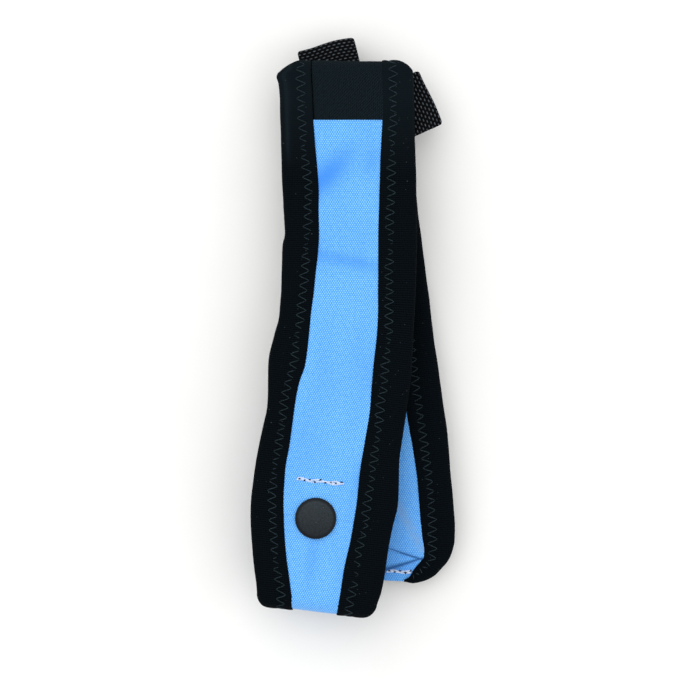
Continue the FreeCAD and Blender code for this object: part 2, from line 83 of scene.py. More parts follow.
# %% Levels read from the frame
BAND_HALF = 1.6
bottom_axis = joint_place("front_leg_unfold")
top_axis = joint_place("middle_leg_unfold")
rear_low = node_box("top_fold")[0][2] + BAND_HALF
middle_low = node_box("top_fold")[1][2] - BAND_HALF
middle_high = node_box("bottom_fold")[0][2] + BAND_HALF
front_high = node_box("bottom_fold")[1][2] - BAND_HALF
rear_high = middle_high - (middle_low - rear_low)
front_low = node_box("front_end_hem")[1][2] - BAND_HALF
flap_level = node_box("front_end_hem")[0][2] + BAND_HALF
hem_radius = (front_low - flap_level) / 2
hem_y = node_box("front_end_hem")[1][1] - hem_radius - BAND_HALF
flap_end_y = node_box("front_end_hem")[0][1]
rear_end_y = node_box("rear_padding")[0][1]
print("levels", rear_low, middle_low, rear_high, middle_high, front_low, front_high)


def smooth_curve(knots):
    """A smooth function that passes through (place, value) pairs and is level with the last one beyond it."""
    knots = sorted(knots)
    places = np.array([knot[0] for knot in knots], float)
    values = np.array([knot[1] for knot in knots], float)
    steps = np.diff(values) / np.diff(places)
    # a slope is the harmonic mean of its neighbours, and level where they differ in sign, so that nothing
    # overshoots
    paired = steps[:-1] * steps[1:]
    inner = np.where(paired > 0, 2 * paired / np.where(paired > 0, steps[:-1] + steps[1:], 1), 0)
    slopes = np.concatenate([steps[:1], inner, steps[-1:]])

    def value_at(place):
        place = np.asarray(place, float)
        low = np.clip(np.searchsorted(places, place) - 1, 0, len(places) - 2)
        gap = places[low + 1] - places[low]
        part = np.clip((place - places[low]) / gap, 0, 1)
        rest = 1 - part
        return (values[low] * (1 + 2 * part) * rest ** 2 + values[low + 1] * (1 + 2 * rest) * part ** 2
                + gap * part * rest * (slopes[low] * rest - slopes[low + 1] * part))

    return value_at


RISE_TOP_Y = 58.0
RISE_FOOT_Y = -12.0
DROOP_START_Y = -66.0
DROOP_DEPTH = 4.6


def rise(low, high):
    """Height along Y of a length that climbs over the hidden buckle."""
    return [(110, low), (RISE_TOP_Y + 6, low), (RISE_TOP_Y - 6, low + 0.06 * (high - low)),
            (RISE_FOOT_Y + 6, high - 0.06 * (high - low)), (RISE_FOOT_Y - 6, high)]


front_height = smooth_curve(rise(front_low, front_high) + [(-120, front_high)])
middle_height = smooth_curve(rise(middle_low, middle_high) + [(-120, middle_high)])
rear_height = smooth_curve(rise(rear_low, rear_high) + [
    (DROOP_START_Y + 5, rear_high), (DROOP_START_Y - 5, rear_high - 0.7),
    (rear_end_y, rear_high - DROOP_DEPTH)])

# %% [markdown]
# ## Outlines
# Each length is drawn by the two edges of the band and the two edges of the blue channel, as across
# places at a few heights along the belt. The front length is straight above and leans left below; the
# rear one leans right.

# %% Edges of the lengths, in millimetres
front_edges = [smooth_curve(knots) for knots in (
    [(94, -25.6), (92.6, -27.2), (91.4, -27.5), (89, -26.8), (82, -26.2), (70, -26.1), (47, -25.2),
     (38, -24.6), (34, -24.4), (30, -25.2), (22, -25.7), (12, -26.0), (3, -26.6), (-6, -28.7),
     (-14, -30.5), (-22, -30.9), (-30, -31.2), (-39, -32.8), (-50, -35.0), (-61, -36.5), (-72, -37.3),
     (-79, -37.1), (-91, -35.8), (-97, -35.0), (-101, -34.7)],
    [(94, -15.0), (76, -14.1), (69, -13.5), (47, -12.1), (34, -12.0), (26, -12.5), (12, -13.9), (3, -15.1),
     (-8, -16.2), (-15, -17.1), (-22, -19.4), (-32, -21.1), (-44, -22.9), (-54, -24.5), (-65, -25.0),
     (-79, -24.4), (-93, -22.9), (-101, -21.6)],
    [(94, 10.9), (76, 11.0), (69, 10.6), (47, 9.9), (28, 9.5), (10, 9.4), (3, 9.3), (-16, 7.7), (-31, 6.2),
     (-42, 4.4), (-51, 3.0), (-60, 2.2), (-68, 1.0), (-76, -0.5), (-87, -2.9), (-96, -4.3), (-101, -5.3)],
    [(94, 22.3), (84, 22.6), (70, 22.9), (47, 23.7), (28, 23.6), (10, 23.1), (-12, 22.0), (-31, 19.7),
     (-45, 17.8), (-60, 17.1), (-70, 15.1), (-76, 13.9), (-85, 12.6), (-94, 11.1), (-98, 9.7), (-101, 8.7)],
)]
middle_edges = [smooth_curve(knots) for knots in (
    [(100, -24.4), (40, -24.6), (10, -25.0), (-20, -27.8), (-60, -32.3), (-85, -34.4), (-101, -34.2)],
    [(100, -13.6), (40, -13.6), (10, -13.9), (-20, -16.6), (-60, -21.0), (-85, -22.4), (-101, -20.0)],
    [(100, 11.2), (40, 11.2), (10, 10.9), (-20, 8.2), (-60, 3.6), (-85, -0.8), (-101, -5.9)],
    [(100, 22.0), (40, 22.2), (10, 22.0), (-20, 19.4), (-60, 14.8), (-85, 11.2), (-101, 8.4)],
)]
rear_edges = [smooth_curve(knots) for knots in (
    [(100, -24.4), (60, -24.6), (40, -24.0), (0, -20.2), (-40, -15.8), (-80, -11.3), (-96, -9.5)],
    [(100, -13.6), (60, -13.6), (40, -12.4), (0, -8.6), (-40, -4.2), (-80, -0.2), (-96, 1.4)],
    [(100, 11.2), (60, 11.2), (40, 12.6), (0, 16.6), (-34, 20.4), (-45, 22.3), (-56, 24.0), (-66, 24.9),
     (-78, 25.6), (-84.6, 26.3), (-86, 25.2), (-88.5, 23.2), (-93.2, 20.4)],
    [(100, 22.0), (60, 23.0), (47, 24.2), (28, 26.3), (10, 28.5), (-26, 33.2), (-45, 35.8), (-63, 37.3),
     (-74, 38.0)],
)]
FRONT_LEAN = -math.radians(6.3)
REAR_LEAN = math.radians(6.4)
front_turn = smooth_curve([(110, 0.0), (24, 0.0), (-10, FRONT_LEAN), (-120, FRONT_LEAN)])
REAR_END_TURN = math.radians(-2.5)
rear_turn = smooth_curve([(110, 0.0), (60, 0.0), (34, REAR_LEAN), (-62, REAR_LEAN), (-90, REAR_END_TURN),
                          (-96, REAR_END_TURN)])


# %% [markdown]
# ## A route that knows which way is up
# Cloth is easiest to think of flat. A route is a list of stations along the belt; each has a centre, a
# direction across the band and a direction out of its blue face. Anything can then be placed by three
# plain numbers: how far along, how far across and how high above the cloth, and it follows every bend and
# fold.

# %% Routes
def distances(points):
    """How far each point of a line is along it."""
    return np.concatenate([[0.0], np.cumsum(np.linalg.norm(np.diff(points, axis=0), axis=1))])


class Route:
    def __init__(self, centre, side, up, edges=None):
        self.centre, self.side, self.up, self.edges = centre, side, up, edges
        self.along = distances(centre)

    def place(self, across, height):
        """Points at an across place and a height; both may be numbers or one value for each station."""
        across = np.broadcast_to(np.asarray(across, float), self.along.shape)
        height = np.broadcast_to(np.asarray(height, float), self.along.shape)
        return self.centre + self.side * across[:, None] + self.up * height[:, None]

    def lay(self, across):
        """Points on the middle surface for a grid of across places."""
        return self.centre[:, None, :] + self.side[:, None, :] * across[..., None]


def join_routes(*routes):
    """One route made of several that follow on from each other; doubled stations are left out."""
    centre = np.vstack([part.centre for part in routes])
    keep = np.concatenate([[True], np.linalg.norm(np.diff(centre, axis=0), axis=1) > 0.02])
    joined = [np.vstack([getattr(part, name) for part in routes])[keep] for name in ("side", "up", "edges")]
    return Route(centre[keep], *joined)


def leg_route(start_y, end_y, edges, height, turn, face, step=0.8):
    """A length of band from start_y to end_y; face is 1 where the blue side is up and -1 where it is down."""
    y = np.linspace(start_y, end_y, max(3, int(abs(end_y - start_y) / step)))
    outlines = np.array([edge(y) for edge in edges]).T
    centre_x = (outlines[:, 0] + outlines[:, 3]) / 2
    angle = turn(y)
    slope = (height(y + 0.5) - height(y - 0.5))
    zero = np.zeros_like(y)
    side = np.column_stack([np.cos(angle), np.sin(angle), zero])
    forward = np.column_stack([-np.sin(angle), np.cos(angle), slope])
    up = face * np.cross(side, forward / np.linalg.norm(forward, axis=1)[:, None])
    across = (outlines - centre_x[:, None]) * np.cos(angle)[:, None]
    return Route(np.column_stack([centre_x, y, height(y)]), side, up, across)


def fold_route(axis, radius, side, bulge, blue_outside, first, last, pinches, steps=21):
    """A half turn round an axis. bulge is 1 toward +Y and -1 toward -Y, and first and last are angles from
    the top. pinches says for each edge how far it draws in at the middle of the fold, and how roundly."""
    angles = np.linspace(first, last, steps)
    forward = np.cross([0, 0, 1], side) * bulge
    spoke = np.cos(angles)[:, None] * np.array([0, 0, 1]) + np.sin(angles)[:, None] * forward
    up = spoke if blue_outside else -spoke
    drawn_in = [reach * (1 - np.abs(np.cos(angles))) ** power for reach, power in pinches]
    return Route(axis + spoke * radius, np.tile(side, (steps, 1)), up), drawn_in


def with_edges(folded, before, after):
    """Give a fold the edges of the lengths that it joins, drawn in at its middle."""
    route, drawn_in = folded
    share = np.linspace(0, 1, len(route.along))[:, None]
    share = share * share * (3 - 2 * share)
    edges = before * (1 - share) + after * share
    edges[:, 0] += drawn_in[0]
    edges[:, 3] -= drawn_in[1]
    route.edges = edges
    return route


REAR_CUT_Y = -93.2
front_leg = leg_route(hem_y, bottom_axis[1], front_edges, front_height, front_turn, 1, step=0.26)
middle_leg = leg_route(bottom_axis[1], top_axis[1], middle_edges, middle_height, front_turn, -1)
rear_leg = leg_route(top_axis[1], REAR_CUT_Y, rear_edges, rear_height, rear_turn, 1, step=0.3)
flap = leg_route(flap_end_y, hem_y, front_edges, lambda y: flap_level + 0 * y, front_turn, -1)

HEM_PINCHES = [(7.4, 0.7), (4.8, 1.0)]
BOTTOM_PINCHES = [(1.7, 1.0), (2.2, 1.0)]
TOP_PINCHES = [(2.5, 1.0), (2.5, 1.0)]
# a fold's axis stands half way between the two lengths, over the end of the first one
hem_axis = (flap.centre[-1] + front_leg.centre[0]) / 2
low_axis = np.append(front_leg.centre[-1][:2], (front_high + middle_high) / 2)
high_axis = np.append(middle_leg.centre[-1][:2], (rear_low + middle_low) / 2)
hem_fold = with_edges(
    fold_route(hem_axis, hem_radius, flap.side[-1], 1, True, math.pi, 0, HEM_PINCHES),
    flap.edges[-1], front_leg.edges[0])
low_radius = (front_high - middle_high) / 2
bottom_fold = with_edges(
    fold_route(low_axis, low_radius, front_leg.side[-1], -1, True, 0, math.pi, BOTTOM_PINCHES),
    front_leg.edges[-1], middle_leg.edges[0])
high_radius = (middle_low - rear_low) / 2
top_fold = with_edges(
    fold_route(high_axis, high_radius, middle_leg.side[-1], 1, False, 0, math.pi, TOP_PINCHES),
    middle_leg.edges[-1], rear_leg.edges[0])


def drawn_to(leg, place, reach):
    """Move a length's start to where a fold brings it; the move fades out over a reach along Y."""
    fade = np.clip(1 - np.abs(leg.centre[:, 1] - leg.centre[0][1]) / reach, 0, 1) ** 2
    return Route(leg.centre + (place - leg.centre[0]) * fade[:, None], leg.side, leg.up, leg.edges)


middle_leg = drawn_to(middle_leg, bottom_fold.centre[-1], 60)
rear_leg = drawn_to(rear_leg, top_fold.centre[-1], 40)


def cut_route(route, first, last=None):
    """The stations from first up to last."""
    return Route(*[part[first:last] for part in (route.centre, route.side, route.up, route.edges)])


def first_station(chosen, after=0):
    """The first station from a given one on that a test chooses."""
    return after + int(np.argmax(chosen[after:]))


TURN_FROM_Y = 72.0
rear_start = first_station(rear_leg.centre[:, 1] < TURN_FROM_Y)
rear_route = cut_route(rear_leg, rear_start)
long_route = join_routes(flap, hem_fold, front_leg, bottom_fold, middle_leg, top_fold,
                         cut_route(rear_leg, 0, rear_start + 1))

# the long route is skinned in four parts, with the two folds apart from the straight lengths; the first cut
# runs under the stud
cap_low, cap_high = node_box("snap_cap")
stud_y = (cap_low[1] + cap_high[1]) / 2
route_y = long_route.centre[:, 1]
bend_start = first_station(route_y < stud_y)
middle_start = first_station(route_y > stud_y, bend_start)
turn_start = first_station(route_y > TURN_FROM_Y, middle_start)
PARTS = {"front": slice(0, bend_start + 1), "bend": slice(bend_start, middle_start + 1),
         "middle": slice(middle_start, turn_start + 1), "turn": slice(turn_start, len(route_y))}
for title, chosen in PARTS.items():
    lengths = long_route.along[chosen]
    print(title, "part has", len(lengths), "stations over", round(lengths[-1] - lengths[0], 1), "mm")
print("rear route has", len(rear_route.along), "stations over", round(rear_route.along[-1], 1), "mm")


# %% [markdown]
# ## One way to add a node, one way to turn hex to colour
# Every material and the node group below are built with one small helper that adds a node of any kind.
# The colours are written as the screen shows them and are turned to linear values for the shaders.

# %% Helpers for nodes and colours
def fill(made, pairs):
    """Give a node's inputs their values, or link them to other nodes' outputs."""
    for key, value in pairs:
        if isinstance(value, bpy.types.NodeSocket):
            made.id_data.links.new(value, made.inputs[key])
        else:
            made.inputs[key].default_value = value


def node(tree, kind, *values, out=0, **settings):
    """Add a node, set its properties and fill its inputs, given in order or as one dict; return an output.
    A kind with no prefix is a shader node."""
    made = tree.nodes.new(kind if "Node" in kind else "ShaderNode" + kind)
    for name, value in settings.items():
        setattr(made, name, value)
    by_name = values and isinstance(values[0], dict)
    fill(made, values[0].items() if by_name else enumerate(values))
    return made.outputs[out] if made.outputs else None


def colour(hex_value):
    """An sRGB hex value as a linear colour."""
    parts = [int(hex_value[index:index + 2], 16) / 255 for index in (1, 3, 5)]
    linear = [part / 12.92 if part <= 0.04045 else ((part + 0.055) / 1.055) ** 2.4 for part in parts]
    return (*linear, 1.0)


def new_material(name):
    """A material with only a Principled shader on its output, and the node helper bound to its tree."""
    made = bpy.data.materials.new(name)
    made.use_nodes = True
    made.node_tree.nodes.clear()
    add = functools.partial(node, made.node_tree)
    surface = add("BsdfPrincipled")
    add("OutputMaterial", surface)
    return made, add, surface.node


def cloth_places(add):
    """The cloth's own UV map, and its across and along places in millimetres."""
    cloth = add("UVMap", uv_map="cloth")
    across = add("SeparateXYZ", cloth)
    return cloth, across, across.node.outputs[1]


def ripple(add, place, pitch, shift=0.0):
    """A sine wave from -1 to 1 that repeats every pitch millimetres."""
    turns = add("Math", place, 2 * math.pi / pitch, shift, operation="MULTIPLY_ADD")
    return add("Math", turns, operation="SINE")


def patchy(add, vector, scale, detail, *limits):
    """Soft noise with its range stretched; scale is in lumps for each unit of the vector."""
    noise = add("TexNoise", dict(Vector=vector, Scale=scale, Detail=detail))
    return add("MapRange", noise, *limits)


def layered(add, base, *layers):
    """Lay colours over a base, each by its own factor; a colour is a hex value or another such stack."""
    for factor, over in layers:
        first, second = [colour(tone) if isinstance(tone, str) else tone for tone in (base, over)]
        base = add("Mix", dict(Factor=factor, A=first, B=second), data_type="RGBA", out="Result")
    return base


def finish(add, shader, shade, roughness, height, relief_mm, strength=1.0):
    """Link a shader's colour and roughness, and bump from a height of 0 to 1 that stands for relief_mm."""
    bump = add("Bump", {"Height": height, "Distance": relief_mm * MM, "Strength": strength})
    fill(shader, {"Base Color": shade, "Roughness": roughness, "Normal": bump}.items())


# %% [markdown]
# ## Blue webbing
# The blue face is woven polyester webbing: thick yarns crossing over and under, so every other crossing
# stands up and catches the light. Broad soft patches of darker blue are painted shade where the cloth dips;
# the creases and the rear face get painted shade too. The fold that the rear end was stored in has rubbed a
# greyish line.

# %% Material: woven blue polyester
YARN_ACROSS = 0.87
YARN_ALONG = 1.38


def make_blue():
    made, add, shader = new_material("woven_blue_polyester")
    cloth, across, along = cloth_places(add)
    # the product of two sines gives raised crossings in a diagonal checker, as in a plain weave
    warp, weft = ripple(add, across, YARN_ACROSS), ripple(add, along, YARN_ALONG)
    crossings = add("Math", warp, weft, operation="MULTIPLY")
    rows = ripple(add, along, YARN_ALONG / 2, -math.pi / 2)
    woven = add("Math", rows, 0.35, crossings, operation="MULTIPLY_ADD")
    dots = add("Math", woven, patchy(add, cloth, 0.9, 3.0, 0.3, 0.7, -0.2, 0.2), operation="ADD")
    yarn = add("MapRange", dots, -0.75, 1.1)
    # painted shade: wide slanting darker patches where the face dips away from the light
    slant = add("Mapping", {"Vector": cloth, "Rotation": (0, 0, math.radians(-38)),
                            "Scale": (0.085, 0.028, 1.0)})
    patches = patchy(add, slant, 1.0, 1.5, 0.42, 0.72)
    # the first of these marks is painted shade, in the front's dips and over the rear face
    painted_shade, wear_and_highlight_tone, painted_crease_shade = [add("Attribute", attribute_name=name, out="Fac")
                               for name in ("painted_shade", "wear_and_highlight_tone", "painted_crease_shade")]
    shade = add("Math", patches, 0.22, painted_shade, operation="MULTIPLY_ADD")
    broken = add("Math", wear_and_highlight_tone, patchy(add, cloth, 0.5, 3.0, 0.35, 0.6, 0.2, 0.62), operation="MULTIPLY")
    # painted shade along the rear end's creases
    crease = add("Math", painted_crease_shade, 0.92, operation="MULTIPLY")
    tone = layered(add, "#2C8EEC", (yarn, "#94D6FF"), (shade, "#3C8CF2"), (broken, "#7BA3D2"),
                   (crease, "#0F4A8C"))
    shader.inputs["Sheen Weight"].default_value = 0.25
    shader.inputs["Sheen Roughness"].default_value = 0.5
    shader.inputs["Specular IOR Level"].default_value = 0.25
    finish(add, shader, tone, 0.78, yarn, 0.06, 0.7)
    return made


BLUE = make_blue()


# %% [markdown]
# ## Black knitted binding, patch, padding and straps
# The bindings are a knitted elastic: fine ribs run across the tape, 0.78 mm apart, over faint columns of
# loops. The patch is a denser twill, a little lighter, and the padding is a spacer mesh. The straps are
# coarse nylon webbing: rows of long floats, 1.15 mm apart, each row a half step out from the next. All
# are dull, so they show little but their own relief.

# %% Materials: black cloths
RIB_PITCH = 0.78
STRAP_ROW = 1.15
FLOAT_PITCH = 1.9


def cloth_height(add, fuzz, waves, limit):
    """Relief of 0 to 1 from noise and weighted ripples, which are (place, pitch, weight)."""
    total = patchy(add, *fuzz)
    for place, pitch, weight in waves:
        total = add("Math", ripple(add, place, pitch), weight, total, operation="MULTIPLY_ADD")
    return add("MapRange", total, -limit, limit)


def make_binding():
    made, add, shader = new_material("knitted_black_elastic")
    cloth, across, along = cloth_places(add)
    fuzz = (cloth, 2.2, 5.0, 0.3, 0.7, -0.6, 0.6)
    height = cloth_height(add, fuzz, [(along, RIB_PITCH, 0.6), (across, 0.62, 0.25)], 1.1)
    # lighter toward the top end, with a painted highlight of a ridge along the left edge
    faded = add("Attribute", attribute_name="faded", out="Fac")
    lint = patchy(add, cloth, 1.3, 0.0, 0.83, 0.86, 0.0, 0.35)
    shade = layered(add, "#000103", (height, "#0A1217"), (faded, "#131C21"), (lint, "#5A666C"))
    shader.inputs["Specular IOR Level"].default_value = 0.04
    finish(add, shader, shade, 0.95, height, 0.16, 0.9)
    return made


def make_patch():
    made, add, shader = new_material("black_cotton_twill")
    cloth, across, along = cloth_places(add)
    slanted = add("Math", across, along, operation="ADD")
    fuzz = (cloth, 1.6, 4.0, 0.3, 0.7, -0.5, 0.5)
    height = cloth_height(add, fuzz, [(slanted, 1.05, 0.45), (across, 0.7, 0.25)], 1.0)
    shader.inputs["Specular IOR Level"].default_value = 0.05
    finish(add, shader, layered(add, "#03070A", (height, "#182329")), 0.95, height, 0.14, 0.8)
    return made


def make_padding():
    made, add, shader = new_material("black_spacer_mesh")
    cloth, across, along = cloth_places(add)
    holes = add("Math", ripple(add, across, 3.0), ripple(add, along, 2.4), operation="MULTIPLY")
    rough = add("Math", holes, patchy(add, cloth, 1.8, 3.0, 0.3, 0.7, -0.3, 0.3), operation="ADD")
    height = add("MapRange", rough, -0.9, 0.5)
    shader.inputs["Specular IOR Level"].default_value = 0.06
    finish(add, shader, layered(add, "#030506", (height, "#171C1F")), 0.92, height, 0.3)
    return made


def make_strap():
    made, add, shader = new_material("ribbed_black_nylon")
    cloth, across, along = cloth_places(add)
    rows = add("Math", across, 1 / STRAP_ROW, operation="MULTIPLY")
    in_row = add("Math", add("Math", rows, operation="FRACT"), math.pi, operation="MULTIPLY")
    arch = add("Math", in_row, operation="SINE")
    # each second row starts half a float later
    odd = add("Math", add("Math", rows, operation="FLOOR"), 2.0, operation="MODULO")
    half_step = add("Math", odd, math.pi, operation="MULTIPLY")
    turns = add("Math", along, 2 * math.pi / FLOAT_PITCH, half_step, operation="MULTIPLY_ADD")
    floats = add("MapRange", add("Math", turns, operation="SINE"), -0.45, 0.7)
    height = add("Math", arch, floats, operation="MULTIPLY")
    # only the crown of each float catches the light, as a thin dash along the row
    crown = add("Math", arch, 9.0, operation="POWER")
    dash = add("Math", crown, add("Math", floats, 0.8, operation="POWER"), operation="MULTIPLY")
    tone = add("Math", dash, patchy(add, cloth, 0.7, 3.0, 0.3, 0.7, 0.5, 1.0), operation="MULTIPLY")
    shader.inputs["Specular IOR Level"].default_value = 0.06
    finish(add, shader, layered(add, "#020304", (tone, "#666E76")), 0.7, height, 0.3)
    return made


BINDING = make_binding()
PATCH = make_patch()
PADDING = make_padding()
STRAP = make_strap()


# %% [markdown]
# ## Threads
# The zigzag seams are sewn in a dull blue-grey polyester that nearly disappears on the black. The bar
# tacks are white, and the dark bobbin thread shows through them here and there.

# %% Materials: sewing threads
def make_thread(name, low, high):
    made, add, shader = new_material(name)
    twist = add("TexNoise", dict(Vector=add("TexCoord", out="Object"), Scale=2600.0, Detail=2.0))
    shader.inputs["Specular IOR Level"].default_value = 0.1
    finish(add, shader, layered(add, low, (add("MapRange", twist, 0.35, 0.65), high)), 0.7, twist, 0.05, 0.5)
    return made


SEAM_THREAD = make_thread("blue_grey_polyester_thread", "#101B20", "#2A3A41")
TACK_THREAD = make_thread("white_polyester_thread", "#A5BFE6", "#DFEBFB")
DARK_THREAD = make_thread("dark_polyester_thread", "#0B0716", "#1E1A33")


# %% [markdown]
# ## Metal finishes
# The press stud is steel with a baked matte black lacquer. The buckle is pressed steel plated with
# nickel, which is bright but brushed by handling, so fine scratches run along it. The spring is plain
# oiled steel.

# %% Materials: lacquered and plated steel
def make_lacquer():
    made, add, shader = new_material("matte_black_lacquer")
    vector = add("TexCoord", out="Object")
    grain = add("TexNoise", dict(Vector=vector, Scale=1800.0, Detail=3.0))
    dust = patchy(add, vector, 1500.0, 0.0, 0.84, 0.87, 0.0, 0.5)
    # this mark paints a highlight on the cap's top and leaves its rim dark as painted shade; the grey below
    # is the highlight's tone
    painted_cap_light = add("Attribute", attribute_name="painted_cap_light", out="Fac")
    wear_and_highlight_tone = layered(add, "#1C2429", (add("MapRange", grain, 0.35, 0.65), "#2F393F"))
    shade = layered(add, "#03070D", (add("MapRange", grain, 0.4, 0.65), "#0A1017"), (painted_cap_light, wear_and_highlight_tone),
                    (dust, "#7D868C"))
    shader.inputs["Specular IOR Level"].default_value = 0.2
    finish(add, shader, shade, add("MapRange", grain, 0.3, 0.7, 0.5, 0.62), grain, 0.03, 0.6)
    return made


def make_steel(name, low, high, roughness, scratch_scale):
    made, add, shader = new_material(name)
    vector = add("TexCoord", out="Object")
    drawn = add("Mapping", {"Vector": vector, "Scale": (120.0, scratch_scale, scratch_scale)})
    scratches = add("TexNoise", dict(Vector=drawn, Scale=1.0, Detail=4.0))
    shade = layered(add, low, (patchy(add, vector, 90.0, 3.0, 0.3, 0.7), high))
    shader.inputs["Metallic"].default_value = 1.0
    dulled = add("MapRange", scratches, 0.3, 0.7, roughness - 0.08, roughness + 0.12)
    finish(add, shader, shade, dulled, scratches, 0.01, 0.5)
    return made


LACQUER = make_lacquer()
PLATED = make_steel("nickel_plated_steel", "#B9B6AE", "#D8D5CE", 0.3, 2600.0)
SPRING_STEEL = make_steel("oiled_spring_steel", "#6E6C68", "#8C8A86", 0.35, 1400.0)
for material in (BLUE, BINDING, PATCH, PADDING, STRAP, SEAM_THREAD, TACK_THREAD, DARK_THREAD, LACQUER,
                 PLATED):
    print("material", material.name, len(material.node_tree.nodes), "nodes")


# %% [markdown]
# ## Skinning a grid of points
# A cloth piece is a grid: one loop of points round its cut section at each station of the route. The grid
# is skinned with quads, capped at both ends, and turned so that its faces look outwards. The across and
# along places go into a UV map called cloth, so the weave follows the cloth round every bend.

# %% From a grid to a mesh
def add_object(name, data):
    """Put a mesh, a lamp or a camera into the scene."""
    made = bpy.data.objects.new(name, data)
    bpy.context.scene.collection.objects.link(made)
    return made


def add_piece(name, mesh, material):
    """Put a smooth mesh of one material into the scene."""
    mesh.materials.clear()
    mesh.materials.append(material)
    mesh.polygons.foreach_set("use_smooth", [True] * len(mesh.polygons))
    return add_object(name, mesh)


def new_mesh(name, points, edges=(), faces=()):
    """A mesh from points in millimetres."""
    mesh = bpy.data.meshes.new(name)
    mesh.from_pydata((np.array(points, float) * MM).tolist(), edges, faces)
    return mesh


def skin(name, grid, across, along, material, marks=None):
    """Make a closed piece from loops of points (millimetres), with its cloth places as UVs and marks on its
    points."""
    rows, columns = grid.shape[:2]
    faces = []
    for row in range(rows - 1):
        for column in range(columns):
            here, there = row * columns + column, row * columns + (column + 1) % columns
            faces.append((here, there, there + columns, here + columns))
    points = grid.reshape(-1, 3)
    corners = [points[side] for side in np.array(faces).T]
    volume = sum(np.einsum("ij,ij->", corners[0], np.cross(corners[index], corners[index + 1]))
                 for index in (1, 2))
    faces += [tuple(reversed(range(columns))), tuple(range((rows - 1) * columns, rows * columns))]
    if volume < 0:
        faces = [tuple(reversed(face)) for face in faces]
    mesh = new_mesh(name, points, faces=faces)
    layer = mesh.uv_layers.new(name="cloth")
    vertex = np.empty(len(mesh.loops), int)
    mesh.loops.foreach_get("vertex_index", vertex)
    places = np.column_stack([np.broadcast_to(values, (rows, columns)).ravel() for values in (across, along)])
    layer.data.foreach_set("uv", places[vertex].astype(np.float32).ravel())
    for label, values in (marks or {}).items():
        attribute = mesh.attributes.new(label, "FLOAT", "POINT")
        attribute.data.foreach_set("value", values.astype(np.float32).ravel())
    return add_piece(name, mesh, material)


def strip(name, route, first_edge, second_edge, section, material, relief=None, extra=None, parts=None):
    """A strip of cloth between two across places; section is a loop of (share across, height) pairs. With
    parts, which are ranges of stations, it is one mesh for each part, and the weave runs on between them."""
    shares, heights = np.array(section).T
    across = first_edge[:, None] + (second_edge - first_edge)[:, None] * shares
    # the weave is measured along the top of the cloth, so that it isn't stretched round the folds
    along = np.repeat(distances(route.place(0, heights.max()))[:, None], len(section), axis=1)
    lift = np.repeat(heights[None, :], len(route.along), axis=0)
    if relief is not None:
        lift = lift + relief(route, across, along) * (heights > 0)
    grid = route.lay(across) + route.up[:, None, :] * lift[..., None]
    marks = {label: rule(grid) for label, rule in (extra or {}).items()}
    if parts is None:
        return skin(name, grid, across, along, material, marks)
    return {part: skin("%s_%s" % (part, name), grid[chosen], across[chosen], along[chosen], material,
                       {label: values[chosen] for label, values in marks.items()})
            for part, chosen in parts.items()}


# %% [markdown]
# ## Relief
# Handled cloth is never flat. Slow waves of a few tenths of a millimetre, running slantwise, are enough
# to make the light move across it. The rear end was sewn down with a pleat: two creases meet at the
# binding and hold a raised wedge between them.

# %% How the face stands up and dips
def slow_waves(route, across, along):
    return (0.10 * np.sin(along / 9.0 + across / 7.0) + 0.07 * np.sin(along / 5.3 - across / 11.0 + 1.0)
            + 0.04 * np.sin(along / 2.9 + across / 3.1))


# soft dips in the front's blue face, which sink it and are also painted on it as shade: middle, half length,
# half width, direction in degrees and depth
DIPS = [((-7.0, 57.5), 10.5, 4.6, 45, 0.7), ((-11.5, 52.0), 7.0, 3.6, 70, 0.4),
        ((7.0, 60.5), 6.0, 3.0, 60, 0.3), ((-1.8, 24.2), 17.0, 2.6, -11, 0.5),
        ((-14.5, -84.0), 12.0, 2.4, 82, 0.3), ((0.5, -62.0), 14.0, 1.6, 78, 0.2)]


def dip_and_painted_shade(grid):
    """How much each point of the front's face lies in a dip; it sinks the face and is painted on it as shade.
    """
    total = np.zeros(grid.shape[:2])
    for middle, half_length, half_width, direction, depth in DIPS:
        angle = math.radians(direction)
        out = grid[..., :2] - np.array(middle)
        along_dip = out[..., 0] * math.cos(angle) + out[..., 1] * math.sin(angle)
        across_dip = out[..., 1] * math.cos(angle) - out[..., 0] * math.sin(angle)
        total += depth * np.exp(-(along_dip / half_length) ** 2 - (across_dip / half_width) ** 2)
    return total * (grid[..., 2] > front_low)


def front_relief(route, across, along):
    return slow_waves(route, across, along) - 0.5 * dip_and_painted_shade(route.lay(across))


RIDGE_LOW_Y = 58.0
RIDGE_INSET = 2.6


def near_top(grid):
    """1 toward the top end of the front, where the binding is lighter."""
    return np.clip((grid[..., 1] - 55) / 30, 0, 1) * (grid[..., 2] > front_low - 2)


def lighter_top_and_ridge_highlight_mark(grid):
    """Lighter toward the top end, and a painted highlight of a soft ridge along the left edge."""
    edge = front_edges[0](grid[..., 1])
    # the ridge is not in the shape: it is only a painted highlight
    ridge = np.exp(-((grid[..., 0] - edge - RIDGE_INSET) / 0.8) ** 2)
    ridge = ridge * np.clip((grid[..., 1] - RIDGE_LOW_Y) / 8, 0, 1) * (grid[..., 2] > front_low)
    return 0.5 * near_top(grid) + 0.8 * ridge


PLEAT_TIP = np.array([25.6, -85.4])
UPPER_CREASE = np.array([13.0, -81.4])
LOWER_CREASE = np.array([12.2, -89.6])


def crease_distance(points, start):
    """Signed distance in millimetres above the line from a crease's start to the pleat's tip."""
    way = (PLEAT_TIP - start) / np.linalg.norm(PLEAT_TIP - start)
    across_way = np.array([-way[1], way[0]])
    return (points[..., :2] - start) @ across_way


